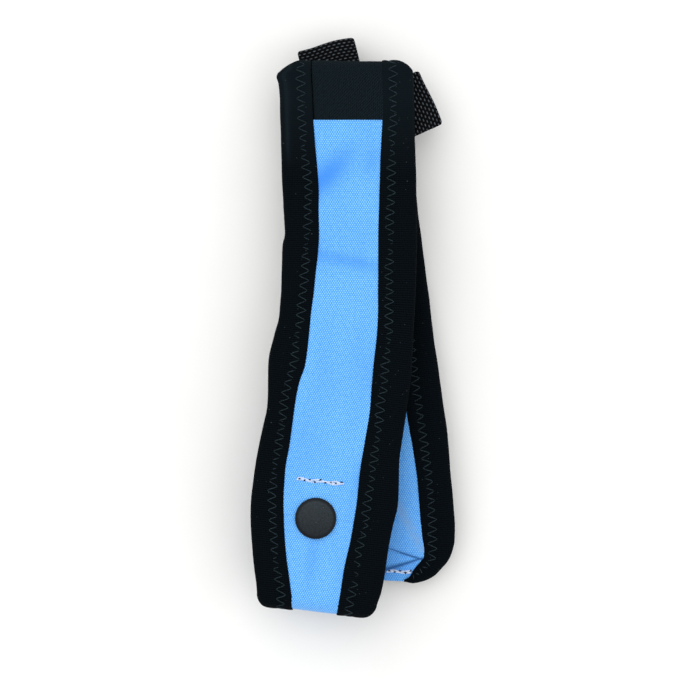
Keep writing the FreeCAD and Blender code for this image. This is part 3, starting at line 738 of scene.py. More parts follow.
def pleat_height(points):
    """How far the pleat lifts the rear end's face."""
    over_upper = crease_distance(points, UPPER_CREASE)
    over_lower = crease_distance(points, LOWER_CREASE)
    near_tip = np.clip((PLEAT_TIP[0] + 1.0 - points[..., 0]) / 8.0, 0, 1)
    beyond = np.clip(over_upper, 0, None)
    above = 0.9 * (1 - np.exp(-beyond / 3.0)) * np.exp(-beyond / 14)
    wedge = 0.8 * np.clip(-over_upper / 1.6, 0, 1) * near_tip
    groove = 0.25 * np.exp(-np.abs(over_upper) / 0.6)
    folded = np.where(over_upper > 0, above, wedge) - groove
    return np.where((over_upper > 0) | (over_lower > 0), folded, -0.35 * near_tip)


def rear_relief(route, across, along):
    flat = route.lay(across)
    near_end = np.clip((-60.0 - flat[..., 1]) / 14.0, 0, 1)
    return slow_waves(route, across, along) * 0.8 + near_end * pleat_height(flat)


def crease_shade_mark(grid):
    """Painted shade along the two creases, 1 on them; the lower one is wide at its start and narrows to the
    tip.
    """
    x, y = grid[..., 0], grid[..., 1]
    upper = np.exp(-(crease_distance(grid, UPPER_CREASE) / 0.4) ** 2)
    from_tip = np.clip((PLEAT_TIP[0] - x) / (PLEAT_TIP[0] - LOWER_CREASE[0]), 0.1, 1)
    lower = np.exp(-((crease_distance(grid, LOWER_CREASE) - 0.3) / (0.35 + 0.7 * from_tip)) ** 2)
    here = (y < -78) & (x < PLEAT_TIP[0] + 0.6) & (x > UPPER_CREASE[0] - 14)
    return np.maximum(upper, lower) * here


def rear_painted_shade(grid):
    """Painted shade on the rear face: a little all over, and deepest toward the front's edge, which shades
    it.
    """
    return 0.12 + 0.28 * np.clip((22.0 - grid[..., 0]) / 12, 0, 1)


RUB_START = np.array([15.5, -62.5])
RUB_END = np.array([25.8, -81.5])


def rubbed_mark(grid):
    """A soft band along the line where the rear end used to be folded."""
    way = RUB_END - RUB_START
    part = np.clip(((grid[..., :2] - RUB_START) @ way) / (way @ way), 0, 1)
    nearest = RUB_START + part[..., None] * way
    gap = np.linalg.norm(grid[..., :2] - nearest, axis=-1)
    return np.exp(-(gap / 1.7) ** 2) * (grid[..., 2] < 14)


# %% [markdown]
# ## The band: blue face, padding and bindings
# The blue face is a thin closed strip whose edges run under the bindings. Each binding is a soft tape
# wrapped round the edge of the padding: full and rounded outside, drawn down along its seam, with a thin
# lip on the blue. The band is skinned in parts: the front, the bottom fold, the middle, the top fold and
# the rear length. The two fold parts are left where they lie, on no body; the other parts move as they
# are, and neighbours share the loop of points where they meet.

# %% Cut sections of the cloths
FACE_TOP = 1.9
FACE_BOTTOM = 1.0
SEAM_INSET = 4.0
BINDING_LIP = 12.2
UNDER_BINDING = 1.6


def face_section(count, top=FACE_TOP, rounding=12):
    """A flat strip's loop with count points across its face."""
    across = np.linspace(0, 1, count)
    face = [(share, top - 0.28 * abs(2 * share - 1) ** rounding) for share in across]
    return face + [(1.0, FACE_BOTTOM), (0.0, FACE_BOTTOM)]


FACE_SECTION = face_section(41)
REAR_SECTION = face_section(97)
PATCH_SECTION = face_section(41, FACE_TOP + 0.28, 16)
PADDING_SECTION = [(0.0, 1.0), (0.5, 1.0), (1.0, 1.0), (1.0, -1.1), (0.8, -1.35), (0.5, -1.45), (0.2, -1.35),
                   (0.0, -1.1)]
BINDING_SECTION = [
    (0.00, 1.75), (0.006, 2.1), (0.03, 2.32), (0.08, 2.42), (0.16, 2.42), (0.24, 2.34), (0.31, 2.2),
    (0.36, 2.16),
    (0.42, 2.24), (0.5, 2.4), (0.6, 2.5), (0.7, 2.5), (0.8, 2.4), (0.88, 2.14), (0.94, 1.72), (0.98, 1.1),
    (1.0, 0.35), (0.98, -0.4), (0.94, -0.9), (0.87, -1.28), (0.75, -1.5), (0.6, -1.54), (0.45, -1.42),
    (0.36, -1.22), (0.28, -1.32), (0.15, -1.5), (0.05, -1.5), (0.0, -1.2),
]


def tape_relief(route, across, along):
    """The binding is soft: it swells and sinks a little along its length."""
    return 0.08 * np.sin(along / 6.1 + across / 5.0) + 0.05 * np.sin(along / 2.7 + 2.0) - 0.04


def ribbed(along):
    """The ribs of the knit end in tiny teeth along the lip."""
    return 0.09 * np.sin(along * 2 * math.pi / RIB_PITCH)


def drifting(along, size, seed):
    """A wandering line of a few tenths of a millimetre, for edges that were not cut by a ruler."""
    return size * (np.sin(along / 7.7 + seed) + 0.6 * np.sin(along / 3.9 + 2.3 * seed)
                   + 0.3 * np.sin(along / 1.9 + 1.7 * seed))


# %% The long route: front, bottom fold, middle and top fold
left, blue_left, blue_right, right = long_route.edges.T
long_along = long_route.along
lip_left = blue_left + drifting(long_along, 0.06, 4)
lip_right = blue_right + drifting(long_along, 0.06, 6)
teeth = ribbed(long_along)
SOFT_TAPE = (BINDING_SECTION, BINDING, tape_relief)
band = {
    "padding": strip("padding_cloth", long_route, blue_left - 2, blue_right + 2, PADDING_SECTION, PADDING,
                     parts=PARTS),
    "binding_left": strip("binding_cloth_left", long_route, lip_left + teeth,
                          left + drifting(long_along, 0.10, 0), *SOFT_TAPE, {"faded": lighter_top_and_ridge_highlight_mark}, PARTS),
    "binding_right": strip("binding_cloth_right", long_route, lip_right - teeth,
                           right + drifting(long_along, 0.10, 2), *SOFT_TAPE, {"faded": lighter_top_and_ridge_highlight_mark}, PARTS),
}

# %% The blue face starts below the facing patch, on the front
patch_low_y = node_box("front_centre_patch")[0][1]
face_start = first_station((long_route.up[:, 2] > 0.5) & (route_y < patch_low_y))
face_route = cut_route(long_route, face_start)
face_parts = {part: slice(max(chosen.start - face_start, 0), chosen.stop - face_start)
              for part, chosen in PARTS.items()}
band["blue_webbing"] = strip("blue_face", face_route, face_route.edges[:, 1] - UNDER_BINDING,
                             face_route.edges[:, 2] + UNDER_BINDING, FACE_SECTION, BLUE, front_relief,
                             {"painted_shade": dip_and_painted_shade}, face_parts)
patch_route = cut_route(long_route, 0, face_start + 1)
GAP_BESIDE_PATCH = 0.35
patch_piece = strip("facing_patch", patch_route, patch_route.edges[:, 1] + GAP_BESIDE_PATCH,
                    patch_route.edges[:, 2] + UNDER_BINDING, PATCH_SECTION, PATCH, slow_waves)
print("blue face starts at y", round(face_route.centre[0][1], 1))

# %% [markdown]
# ## The rear length and its rounded end
# The rear binding on the right does not stop at the corner: it is led round it and ends on the lower
# edge, keeping its width. So it has an outer and an inner line of its own, as plan outlines, and a loop
# of its section between each pair of points. The face and the padding end in the straight lower edge.

# %% The rear length
rear_rim, rear_blue_left, rear_blue_right = rear_route.edges.T[:3]
# the rear face gets painted shade, deepest by the front's edge
rear_face = strip("rear_blue_face", rear_route, rear_blue_left - UNDER_BINDING,
                  rear_blue_right + UNDER_BINDING, REAR_SECTION, BLUE, rear_relief,
                  {"painted_crease_shade": crease_shade_mark, "wear_and_highlight_tone": rubbed_mark, "painted_shade": rear_painted_shade})
rear_padding = strip("rear_padding_cloth", rear_route, rear_blue_left - 2, rear_blue_right + 1.5,
                     PADDING_SECTION, PADDING)
rear_left = strip("rear_binding_cloth_left", rear_route, rear_blue_left + drifting(rear_route.along, 0.05, 3),
                  rear_rim, *SOFT_TAPE)

CORNER_FROM_Y = -73.5
CORNER_OUTER = [(38.0, -74.0), (37.9, -78.3), (37.1, -82.4), (35.7, -85.8), (33.2, -88.9), (30.2, -91.9),
                (26.6, -93.7), (22.6, -94.5), (19.3, -93.9)]
CORNER_INNER = [(25.3, -74.0), (25.6, -78.0), (25.9, -81.6), (26.3, -84.7), (25.5, -86.0), (24.2, -87.5),
                (22.8, -89.4), (21.2, -92.0), (19.2, -93.2)]


def along_points(points, count):
    """A smooth line through plan points, with count places on it."""
    places = np.linspace(0, 1, len(points))
    wanted = np.linspace(0, 1, count)
    return np.column_stack([smooth_curve(list(zip(places, axis)))(wanted) for axis in zip(*points)])


straight = cut_route(rear_route, 0, first_station(rear_route.centre[:, 1] <= CORNER_FROM_Y))
uneven_lip = drifting(straight.along, 0.05, 5) - ribbed(straight.along)
lip_straight = straight.place(straight.edges[:, 2] + uneven_lip, 0)
rim_straight = straight.place(straight.edges[:, 3] + drifting(straight.along, 0.10, 7), 0)
CORNER_STEPS = 56
CORNER_SEAM_STOP = 8


def round_corner(straight_line, plan_points):
    """Carry a line of the straight binding on round the corner, at the rear length's height."""
    plan = along_points(plan_points, CORNER_STEPS)[2:]
    return np.vstack([straight_line, np.column_stack([plan, rear_height(plan[:, 1])])])


lip_line = round_corner(lip_straight, CORNER_INNER)
rim_line = round_corner(rim_straight, CORNER_OUTER)


def corner_seam(height):
    """The seam's line on the rear right binding, round the corner, with its across and up directions."""
    across = (rim_line - lip_line)[:-CORNER_SEAM_STOP]
    points = lip_line[:-CORNER_SEAM_STOP] + across * SEAM_INSET / BINDING_LIP
    points[:, 2] += height
    return points, across / np.linalg.norm(across, axis=1)[:, None]


def corner_binding():
    shares, heights = np.array(BINDING_SECTION).T
    along = distances((lip_line + rim_line) / 2)[:, None]
    width = np.linalg.norm(rim_line - lip_line, axis=1)
    grid = lip_line[:, None, :] + (rim_line - lip_line)[:, None, :] * shares[None, :, None]
    grid[..., 2] += heights + 0.08 * np.sin(along / 5.1) * (heights > 0)
    return skin("rear_binding_cloth_right", grid, width[:, None] * shares, along, BINDING)


rear_right = corner_binding()
print("rear binding follows", len(lip_line), "stations round the corner")


# %% [markdown]
# ## Seams with Geometry Nodes
# A zigzag seam is one thread that crosses from side to side. The node group takes a guide line that lies
# on the cloth and knows which way is across and which way is up. It puts four points in every stitch,
# pushes them left and right in turn, sinks the ones at the needle holes, and turns the line into a
# thread. The same group makes the bar tacks, with shorter and denser stitches.

# %% A node group that sews a zigzag
STITCH_INPUTS = {"Stitch length": 0.0036, "Stitch width": 0.0033, "Thread radius": 0.00018, "Lift": 0.0002,
                 "Return lift": 0.0002, "Unevenness": 0.1}


def make_zigzag_tree():
    tree = bpy.data.node_groups.new("zigzag_seam", "GeometryNodeTree")
    kinds = [("Geometry", "Geometry"), *((name, "Float") for name in STITCH_INPUTS), ("Seed", "Int"),
             ("Thread", "Material")]
    for name, kind in kinds:
        socket = tree.interface.new_socket(name, in_out="INPUT", socket_type="NodeSocket" + kind)
        if name in STITCH_INPUTS:
            socket.default_value = STITCH_INPUTS[name]
    tree.interface.new_socket("Geometry", in_out="OUTPUT", socket_type="NodeSocketGeometry")
    add = functools.partial(node, tree)
    given = add("NodeGroupInput").node.outputs
    curve = add("GeometryNodeMeshToCurve", given["Geometry"])
    quarter = add("Math", given["Stitch length"], 0.25, operation="MULTIPLY")
    resampled = add("GeometryNodeResampleCurve", {"Curve": curve, "Length": quarter}, mode="LENGTH")
    turn = add("Math", add("GeometryNodeInputIndex"), math.pi / 2, operation="MULTIPLY")
    swing = add("Math", turn, operation="SINE")
    # half way across, every second stitch lies at the return lift, which may be below the cloth
    over = add("Math", turn, operation="COSINE")
    under = add("Math", over, -1.0, operation="MULTIPLY")
    lifts = []
    for way, lift in ((over, "Lift"), (under, "Return lift")):
        half_way = add("Math", way, 0.0, operation="MAXIMUM")
        lifts.append(add("Math", half_way, given[lift], operation="MULTIPLY"))
    upward = add("Math", *lifts, operation="ADD")
    chance = add("FunctionNodeRandomValue", {"Seed": given["Seed"]}, data_type="FLOAT", out="Value")
    centred = add("Math", chance, 0.5, operation="SUBTRACT")
    uneven = add("Math", centred, given["Unevenness"], 0.5, operation="MULTIPLY_ADD")
    reach = add("Math", swing, given["Stitch width"], operation="MULTIPLY")
    sideways = add("Math", reach, uneven, operation="MULTIPLY")
    moves = []
    for name, amount in (("across", sideways), ("upward", upward)):
        way = add("GeometryNodeInputNamedAttribute", {"Name": name}, data_type="FLOAT_VECTOR")
        moves.append(add("VectorMath", {0: way, "Scale": amount}, operation="SCALE"))
    offset = add("VectorMath", *moves, operation="ADD")
    moved = add("GeometryNodeSetPosition", {"Geometry": resampled, "Offset": offset})
    rounded = add("GeometryNodeCurveSplineType", {"Curve": moved}, spline_type="CATMULL_ROM")
    finer = add("GeometryNodeSetSplineResolution", {"Geometry": rounded, "Resolution": 2})
    circle = add("GeometryNodeCurvePrimitiveCircle", {"Resolution": 5, "Radius": given["Thread radius"]})
    thread = add("GeometryNodeCurveToMesh", {"Curve": finer, "Profile Curve": circle, "Fill Caps": True})
    real = add("GeometryNodeRealizeInstances", thread)
    dyed = add("GeometryNodeSetMaterial", {"Geometry": real, "Material": given["Thread"]})
    add("NodeGroupOutput", dyed)
    return tree


ZIGZAG = make_zigzag_tree()


def sew(name, points, sides, ups, thread, stitch, unevenness, seed):
    """Run the zigzag group along a guide line and keep the result as a plain mesh. stitch holds its length
    and width, the thread's radius, and the lift and return lift, in millimetres, as are the points."""
    guide_mesh = new_mesh(name + "_guide", points, [(index, index + 1) for index in range(len(points) - 1)])
    for label, vectors in (("across", sides), ("upward", ups)):
        attribute = guide_mesh.attributes.new(label, "FLOAT_VECTOR", "POINT")
        attribute.data.foreach_set("vector", np.ascontiguousarray(vectors, np.float32).ravel())
    guide = add_object(name + "_guide", guide_mesh)
    modifier = guide.modifiers.new("seam", "NODES")
    modifier.node_group = ZIGZAG
    values = dict(zip(STITCH_INPUTS, [size * MM for size in stitch]))
    values.update({"Unevenness": unevenness, "Seed": seed, "Thread": thread})
    for item in ZIGZAG.interface.items_tree:
        if item.in_out == "INPUT" and item.name in values:
            modifier[item.identifier] = values[item.name]
    seen = guide.evaluated_get(bpy.context.evaluated_depsgraph_get())
    made = add_piece(name, bpy.data.meshes.new_from_object(seen), thread)
    bpy.data.objects.remove(guide)
    return made


# %% [markdown]
# ## Zigzag seams along the bindings
# Each seam runs 4 mm outside the blue edge, on the face and again on the back, where the same stitches
# come through. The rear seam on the right is led round the corner and stops a little before the binding's
# end.

# %% Sewing the bindings
SEAM_HEIGHT = 2.2
SEAM_BACK = -1.2
SEAM_STITCH = (3.6, 3.3, 0.19, 0.14, 0.05)
SEAM_UNEVENNESS = 0.16


def zigzag(name, points, sides, ups, seed):
    return sew(name, points, sides, ups, SEAM_THREAD, SEAM_STITCH, SEAM_UNEVENNESS, seed)


def seam_pieces(route, lips, seed, parts, hands=(-1, 1)):
    """The seams along the lips of a route, as a list of threads for each of its parts."""
    made = {part: [] for part in parts}
    for hand in hands:
        for side_name, height in (("face", SEAM_HEIGHT), ("back", SEAM_BACK)):
            inset = SEAM_INSET + drifting(route.along, 0.16, seed + hand)
            across = lips[0 if hand < 0 else 1] + hand * inset
            above = height + tape_relief(route, across, route.along) * (height > 0)
            points, ups = route.place(across, above), route.up * np.sign(height)
            for part, chosen in parts.items():
                name = "%s_seam_%s_%s" % (part, "left" if hand < 0 else "right", side_name)
                line = [values[chosen] for values in (points, route.side, ups)]
                made[part].append(zigzag(name, *line, seed + hand))
    return made


seams = seam_pieces(long_route, (lip_left, lip_right), 3, PARTS)
seams.update(seam_pieces(rear_route, (rear_blue_left, None), 11, {"rear": slice(None)}, hands=(-1,)))
for side_name, height in (("face", SEAM_HEIGHT), ("back", SEAM_BACK)):
    seam_points, seam_sides = corner_seam(height)
    seam_ups = np.tile([0, 0, np.sign(height)], (len(seam_points), 1))
    seams["rear"].append(zigzag("rear_seam_right_" + side_name, seam_points, seam_sides, seam_ups, 12))


# %% [markdown]
# ## Bar tacks
# A bar tack is a dense zigzag over a few long stitches, sewn through every layer to hold it for good. One
# closes the front length above the press stud. The other holds the pleat at the rear end.

# %% Sewing the bar tacks
# strands as (shift across, stitch length); the specks are nearly hidden under them
TACK_STRANDS = ((0.32, 6.1), (-0.3, 7.3), (0.0, 4.7))
SPECK_STITCH = (3.7, 1.0, 0.27, -0.8, -0.8)


def plan_axes(degrees):
    """The directions along and across a line in plan, turned from +X."""
    angle = math.radians(degrees)
    way = np.array([math.cos(angle), math.sin(angle), 0])
    return way, np.cross([0, 0, 1], way)


def bar_tack(name, node_name, slope_degrees, lift):
    """A tack over a packed tack, at its middle and of its length."""
    low, high = node_box(node_name)
    middle = (low + high) / 2
    way, side = plan_axes(slope_degrees)
    span = (high[0] - low[0]) / way[0]
    points = middle + way * np.linspace(-span / 2, span / 2, 60)[:, None]
    points[:, 2] = high[2] - 0.4 + lift
    sides, ups = np.tile(side, (60, 1)), np.tile([0, 0, 1.0], (60, 1))
    # three thick white strands lie nearly along the tack; the dark thread below shows only at its turns
    strands = [sew(name + "_strand_%d" % number, points + sides * shift, sides, ups, TACK_THREAD,
                   (length, 0.5, 0.28, 0.1, 0.05), 0.5, number)
               for number, (shift, length) in enumerate(TACK_STRANDS)]
    specks = sew(name + "_specks", points, sides, ups, DARK_THREAD, SPECK_STITCH, 0.9, 4)
    specks.data.transform(Matrix.Translation((0, 0, 0.3 * MM)))
    return strands + [specks]


front_tack = bar_tack("front_tack_thread", "front_bartack", -6.3, 0.15)
rear_tack = bar_tack("rear_tack_thread", "rear_bartack", -2.0, 0.1)

# %% The strap bundles' box of running stitches
BOX_CORNERS = [(-1, -1), (1, -1), (1, 1), (-1, 1), (-1, -1), (1, 1), (1, -1), (-1, 1)]
BOX_MARGIN = 0.8
BOX_STITCH = (2.6, 0.1, 0.2, 0.1, -0.35)


def box_stitching(name, node_name, turn_degrees):
    """A square with a cross in it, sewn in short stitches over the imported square."""
    low, high = node_box(node_name)
    middle = (low + high) / 2
    way, side = plan_axes(turn_degrees)
    half = (high[0] - low[0]) / (abs(way[0]) + abs(way[1])) / 2 - BOX_MARGIN
    made = []
    for number, corners in enumerate(zip(BOX_CORNERS, BOX_CORNERS[1:])):
        start, end = [middle + half * (corner[0] * way + corner[1] * side) for corner in corners]
        line = start + (end - start) * np.linspace(0, 1, 12)[:, None]
        across = np.cross([0, 0, 1], end - start) / np.linalg.norm(end - start)
        sides, ups = np.tile(across, (12, 1)), np.tile([0, 0, 1.0], (12, 1))
        made.append(sew("%s_%d" % (name, number), line, sides, ups, DARK_THREAD, BOX_STITCH, 0.2, number))
    return made


box_stitch = box_stitching("box_stitch_thread", "strap_box_stitch", -62.0)


# %% [markdown]
# ## The press-stud cap
# A cap is pressed from sheet: a shallow dome that turns down at a tight rolled rim. It is turned from a
# profile round its own axis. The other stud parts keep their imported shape.

# %% Turning the cap
def turned(name, centre, profile, material, steps=64):
    """A closed body turned round a vertical axis, from (radius, height) pairs that start and end on it."""
    angles = np.linspace(0, 2 * math.pi, steps, endpoint=False)
    points = [(0, 0, profile[0][1])]
    for radius, height in profile[1:-1]:
        points += [(radius * math.cos(a), radius * math.sin(a), height) for a in angles]
    points.append((0, 0, profile[-1][1]))
    last = len(points) - 1
    top_ring = last - steps
    faces = []
    for step in range(steps):
        after = (step + 1) % steps
        faces += [(0, 1 + after, 1 + step), (top_ring + step, top_ring + after, last)]
        faces += [(ring + step, ring + after, ring + after + steps, ring + step + steps)
                  for ring in range(1, top_ring, steps)]
    return add_piece(name, new_mesh(name, np.array(points) + centre, faces=faces), material)


CAP_DEPTH = 2.0
POST_RADIUS = 1.8
RIM = 0.75
RIM_TOP = 1.15
DOME = 1.0
cap_radius = (cap_high[0] - cap_low[0]) / 2
cap_base = cap_high[2] - CAP_DEPTH
cap_centre = np.array([(cap_low[0] + cap_high[0]) / 2, (cap_low[1] + cap_high[1]) / 2, cap_base])
dome_points = [(share * (cap_radius - RIM), RIM_TOP + DOME * (1 - share ** 2.2))
               for share in np.linspace(1, 0.06, 18)]
rim_points = [(cap_radius - RIM + RIM * math.sin(a), 0.57 + 0.58 * math.cos(a))
              for a in np.linspace(math.pi, 0, 11)]
post = cap_low[2] - cap_base
cap_profile = [(0, post), (POST_RADIUS, post), (POST_RADIUS, 0.0), *rim_points, *dome_points[1:],
               (0, RIM_TOP + DOME)]
stud_cap = turned("press_stud_cap", cap_centre, cap_profile, LACQUER)

# painted light on the cap: its top is painted a lighter grey as a highlight, most of all toward its upper
# edge, and the rolled rim is kept black as painted shade
SHADED_RIM = 1.1
painted_cap_light = stud_cap.data.attributes.new("painted_cap_light", "FLOAT", "POINT")
for index, vertex in enumerate(stud_cap.data.vertices):
    x, y, z = np.array(vertex.co) / MM - cap_centre
    # the painted highlight grows toward +Y, the side the key light is on
    lit_toward_top = 0.62 + 0.34 * y / cap_radius
    inside = min(1.0, max(0.0, (cap_radius - SHADED_RIM - math.hypot(x, y)) / 0.5 + 0.5))
    painted_cap_light.data[index].value = inside * (z > 1.0) * lit_toward_top
print("cap radius", round(cap_radius, 2), "mm, base at", round(cap_base, 2))


# %% [markdown]
# ## The adjusting strap
# The black strap is 25 mm webbing folded flat on itself. Only the edges of its two bundles show. A bundle
# is one route that runs out, turns tightly and comes back. Its rows stand up in real relief, and its
# woven edge is rounded.

# %% Folding the strap into bundles
STRAP_HALF_WIDTH = 12.5
STRAP_THICK = 1.15
ROW_RELIEF = 0.07
CORNER_WEAR = 1.3


def strap_section(rows=22):
    """A loop round the strap with a ridge for each row of the weave on both faces."""
    places = np.linspace(0.01, 0.99, rows * 4)
    ridges = ROW_RELIEF * np.abs(np.sin(places * rows * math.pi))
    rounding = 1 - 0.55 * np.abs(2 * places - 1) ** 24
    top = list(zip(places, (STRAP_THICK / 2 - ROW_RELIEF + ridges) * rounding))
    return [(0.0, 0.0)] + top + [(1.0, 0.0)] + [(place, -height) for place, height in reversed(top)]


def strap_strip(name, route):
    """Strap webbing over the whole width of a route."""
    return strip(name, route, route.edges[:, 0], route.edges[:, 3], strap_section(), STRAP)


def bent_route(points, side, half_widths=STRAP_HALF_WIDTH):
    """A route through 3D points, with the given direction across and half width."""
    centre = np.array(points, float)
    tangent = np.gradient(centre, axis=0)
    tangent /= np.linalg.norm(tangent, axis=1)[:, None]
    side = np.array(side, float)
    up = np.cross(tangent, side)
    up /= np.linalg.norm(up, axis=1)[:, None]
    edges = np.outer(np.broadcast_to(half_widths, len(centre)), [-1, 0, 0, 1])
    return Route(centre, np.tile(side, (len(centre), 1)), up, edges)


def bundle_route(centre, turn_degrees, length, height, bow):
    """Out along the lower layer, round the end and back along the upper one; bow bends it sideways."""
    radius = (height - STRAP_THICK) / 2
    reach = length / 2 - radius - STRAP_THICK / 2
    out = [(place, -radius) for place in np.linspace(-length / 2, reach, 60)]
    half_turn = np.linspace(-math.pi / 2, math.pi / 2, 9)[1:-1]
    turn = [(reach + radius * math.cos(a), radius * math.sin(a)) for a in half_turn]
    back = [(place, radius) for place in np.linspace(reach, -length / 2, 60)]
    flat = np.array(out + turn + back)
    way, side = plan_axes(turn_degrees)
    wave = bow * np.sin((flat[:, 0] / length + 0.1) * 2 * math.pi)
    points = centre + way * flat[:, :1] + side * wave[:, None] + np.array([0, 0, 1]) * flat[:, 1:]
    # the corners at both ends are worn round
    into_corner = np.clip((np.abs(flat[:, 0]) - length / 2 + CORNER_WEAR) / CORNER_WEAR, 0, 1)
    half_widths = STRAP_HALF_WIDTH - CORNER_WEAR * (1 - np.sqrt(1 - 0.98 * into_corner ** 2))
    return bent_route(points, -side, half_widths)


def bundle(name, node_name, turn_degrees, length, bow, shift):
    low, high = node_box(node_name)
    middle = (low + high) / 2 + np.array([*shift, 0])
    route = bundle_route(middle, turn_degrees, length, high[2] - low[2], bow)
    return strap_strip(name, route), route


BUNDLE_LENGTH = 21.6
left_bundle, left_strap_route = bundle(
    "strap_bundle_cloth_left", "strap_bundle_left", 14.0, BUNDLE_LENGTH, 0.35, (0.3, 0.8))
right_bundle, right_strap_route = bundle(
    "strap_bundle_cloth_right", "strap_bundle_right", -65.8, BUNDLE_LENGTH, 0.2, (0.65, 0.3))
print("each bundle holds", round(left_strap_route.along[-1], 1), "mm of strap")

# %% [markdown]
# ## The buckle's tab
# A short length of the same webbing is doubled round the buckle's bar, and both of its ends are sewn
# under the rear length. Its route runs down one layer, round the bar and back along the other.

# %% Looping the tab round the bar
bar = joint_place("buckle_swing")
lean_side, lean_way = plan_axes(math.degrees(REAR_LEAN))
LOOP_RADIUS = 1.56 + STRAP_THICK / 2
tab_far = (node_box("buckle_tab")[0][1] + 1.5 - bar[1]) / math.cos(REAR_LEAN)


def tab_layer(back, below):
    """A point under the rear length, back millimetres from the bar and below its underside."""
    point = bar + lean_way * back
    point[2] = rear_height(point[1]) - BAND_HALF - below
    return point


upper_layer = [tab_layer(back, STRAP_THICK / 2) for back in np.linspace(tab_far, -4.0, 40)]
round_bar = [bar + LOOP_RADIUS * (lean_way * math.cos(a) + np.array([0, 0, math.sin(a)]))
             for a in np.linspace(math.pi / 2, -math.pi * 0.68, 18)]
lower_layer = [tab_layer(back, STRAP_THICK * 1.5) for back in np.linspace(-7.0, tab_far, 40)]
tab_route = bent_route(upper_layer + round_bar + lower_layer, lean_side)
tab_cloth = strap_strip("buckle_tab_cloth", tab_route)

# %% [markdown]
# ## Who moves with what
# The parts called bend and turn go over the two folds; they are fixed where they lie and given to no body.
# Every other piece is given the body of the model it rides on, and moves as it is. Each packed soft solid
# is hidden by the cloth that stands for it.


def bend(part):
    for piece in [cloths[part] for cloths in band.values()] + seams[part]:
        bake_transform(piece)


bend("bend")
bend("turn")
riding = {
    "front_leg": [cloths["front"] for cloths in band.values()] + seams["front"] + front_tack + box_stitch
                 + [patch_piece, stud_cap, left_bundle, right_bundle],
    "middle_leg": [cloths["middle"] for cloths in band.values()] + seams["middle"],
    "rear_leg": [rear_face, rear_padding, rear_left, rear_right, tab_cloth] + seams["rear"] + rear_tack,
}
for body, pieces in riding.items():
    for piece in pieces:
        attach(piece, body)

for part in ("front", "middle"):
    for cloth_name, cloths in band.items():
        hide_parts("%s_%s" % (part, cloth_name))
STAND_INS = [
    (band["padding"]["front"], "front_end_hem"), (band["padding"]["bend"], "bottom_fold"),
    (band["padding"]["turn"], "top_fold"), (patch_piece, "front_centre_patch"),
    (rear_face, "rear_blue_webbing"), (rear_padding, "rear_padding"), (rear_left, "rear_binding_left"),
    (rear_right, "rear_binding_right"), (front_tack[0], "front_bartack"), (rear_tack[0], "rear_bartack"),
    (stud_cap, "snap_cap"), (left_bundle, "strap_bundle_left"), (right_bundle, "strap_bundle_right"),
    (tab_cloth, "buckle_tab"), (box_stitch[0], "strap_box_stitch"),
]
for piece, packed in STAND_INS:
    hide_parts(packed)

# %% Cloth sizes, as they were cut
FACE_WIDTH = 28.0
BINDING_WIDTH = 26.0


def cloth(piece, width, route_length, rests_on):
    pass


def length_of(route, chosen=slice(None)):
    lengths = route.along[chosen]
    return lengths[-1] - lengths[0]


for part, chosen in PARTS.items():
    below = part + "_padding_cloth"
    cloth(band["blue_webbing"][part], FACE_WIDTH, length_of(face_route, face_parts[part]), below)
    for binding in ("binding_left", "binding_right"):
        cloth(band[binding][part], BINDING_WIDTH / 2, length_of(long_route, chosen), below)
cloth(patch_piece, FACE_WIDTH - 1.5, length_of(patch_route), "front_padding_cloth")
cloth(rear_face, FACE_WIDTH, length_of(rear_route), "rear_padding_cloth")
for piece in (rear_left, rear_right):
    cloth(piece, BINDING_WIDTH / 2, length_of(rear_route), "rear_padding_cloth")
for piece, route, above in ((left_bundle, left_strap_route, "front_padding_cloth"),
                            (right_bundle, right_strap_route, "front_padding_cloth"),
                            (tab_cloth, tab_route, "rear_padding_cloth")):
    cloth(piece, 2 * STRAP_HALF_WIDTH, length_of(route), above)


# %% [markdown]
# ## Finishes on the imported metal
# The buckle, its jaw, pin and spring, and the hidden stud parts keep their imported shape. Only the
# material in their slot changes.

# %% Finishing the metal pieces
METAL = {
    PLATED: ["buckle_frame", "jaw_pin", "toothed_jaw"],
    SPRING_STEEL: ["jaw_spring"],
    LACQUER: ["snap_socket", "snap_stud", "snap_stud_backing"],
}
for material, names in METAL.items():
    for name in names:
        mesh = frame["nodes"][name].data
        mesh.materials.clear()
        mesh.materials.append(material)
print("finished", sum(len(names) for names in METAL.values()), "packed nodes")

# %% [markdown]
# ## Table, light and camera
# The belt lies on a plain pale table under a wide soft light, and is seen from straight above through a
# long lens, which keeps its edges parallel.

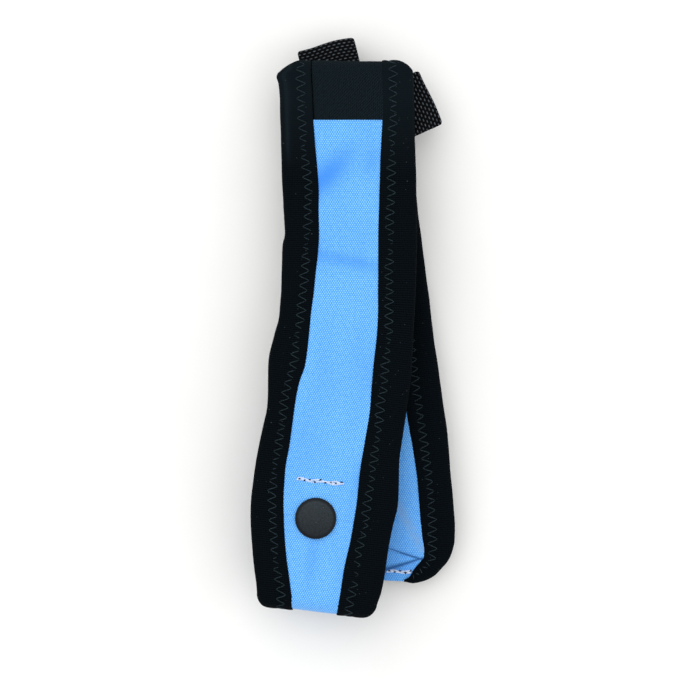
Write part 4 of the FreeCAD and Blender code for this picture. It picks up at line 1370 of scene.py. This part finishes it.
# %% Table
TABLE_HALF = 1200.0
TABLE_DROP = 0.1
TABLE_CORNERS = [(-1, -1), (1, -1), (1, 1), (-1, 1)]
table_mesh = new_mesh("table_top", [(x * TABLE_HALF, y * TABLE_HALF, -TABLE_DROP) for x, y in TABLE_CORNERS],
                      faces=[(0, 1, 2, 3)])
table_top, add_to_table, table_shader = new_material("pale_table_top")
table_places = add_to_table("TexCoord", out="Object")
table_grain = add_to_table("TexNoise", dict(Vector=table_places, Scale=40.0, Detail=3.0))
table_shade = layered(add_to_table, "#F4F4F2", (table_grain, "#F8F8F7"))
fill(table_shader, {"Base Color": table_shade, "Roughness": 0.9}.items())
table_mesh.materials.append(table_top)
add_object("table_top", table_mesh)


# %% Lights
def soft_light(name, place, size, power):
    """A square lamp that faces the middle of the table."""
    lamp = bpy.data.lights.new(name, "AREA")
    lamp.shape = "SQUARE"
    lamp.size = size
    lamp.energy = power
    made = add_object(name, lamp)
    made.location = place
    made.rotation_euler = (-Vector(place)).to_track_quat("-Z", "Y").to_euler()


soft_light("key_softbox", (-0.5, 0.65, 1.1), 1.8, 9.0)
soft_light("fill_softbox", (0.8, -0.4, 1.0), 1.2, 3.0)
world = bpy.data.worlds.new("studio")
world.use_nodes = True
world.node_tree.nodes.clear()
sky = node(world.node_tree, "Background", {"Color": (1.0, 1.0, 1.0, 1.0), "Strength": 0.84})
node(world.node_tree, "OutputWorld", sky)
bpy.context.scene.world = world
bpy.context.scene.view_settings.view_transform = "Standard"

# %% Camera
VIEW_WIDTH = 256.2
VIEW_CENTRE = (-0.73, -8.24)
CAMERA_RISE = 1000.0
SENSOR = 36.0
view_level = front_high - 5.0
camera_data = bpy.data.cameras.new("camera_above")
camera_data.sensor_width = SENSOR
camera_data.lens = SENSOR * CAMERA_RISE / VIEW_WIDTH
camera = add_object("camera_above", camera_data)
camera.location = (VIEW_CENTRE[0] * MM, VIEW_CENTRE[1] * MM, (view_level + CAMERA_RISE) * MM)
bpy.context.scene.camera = camera
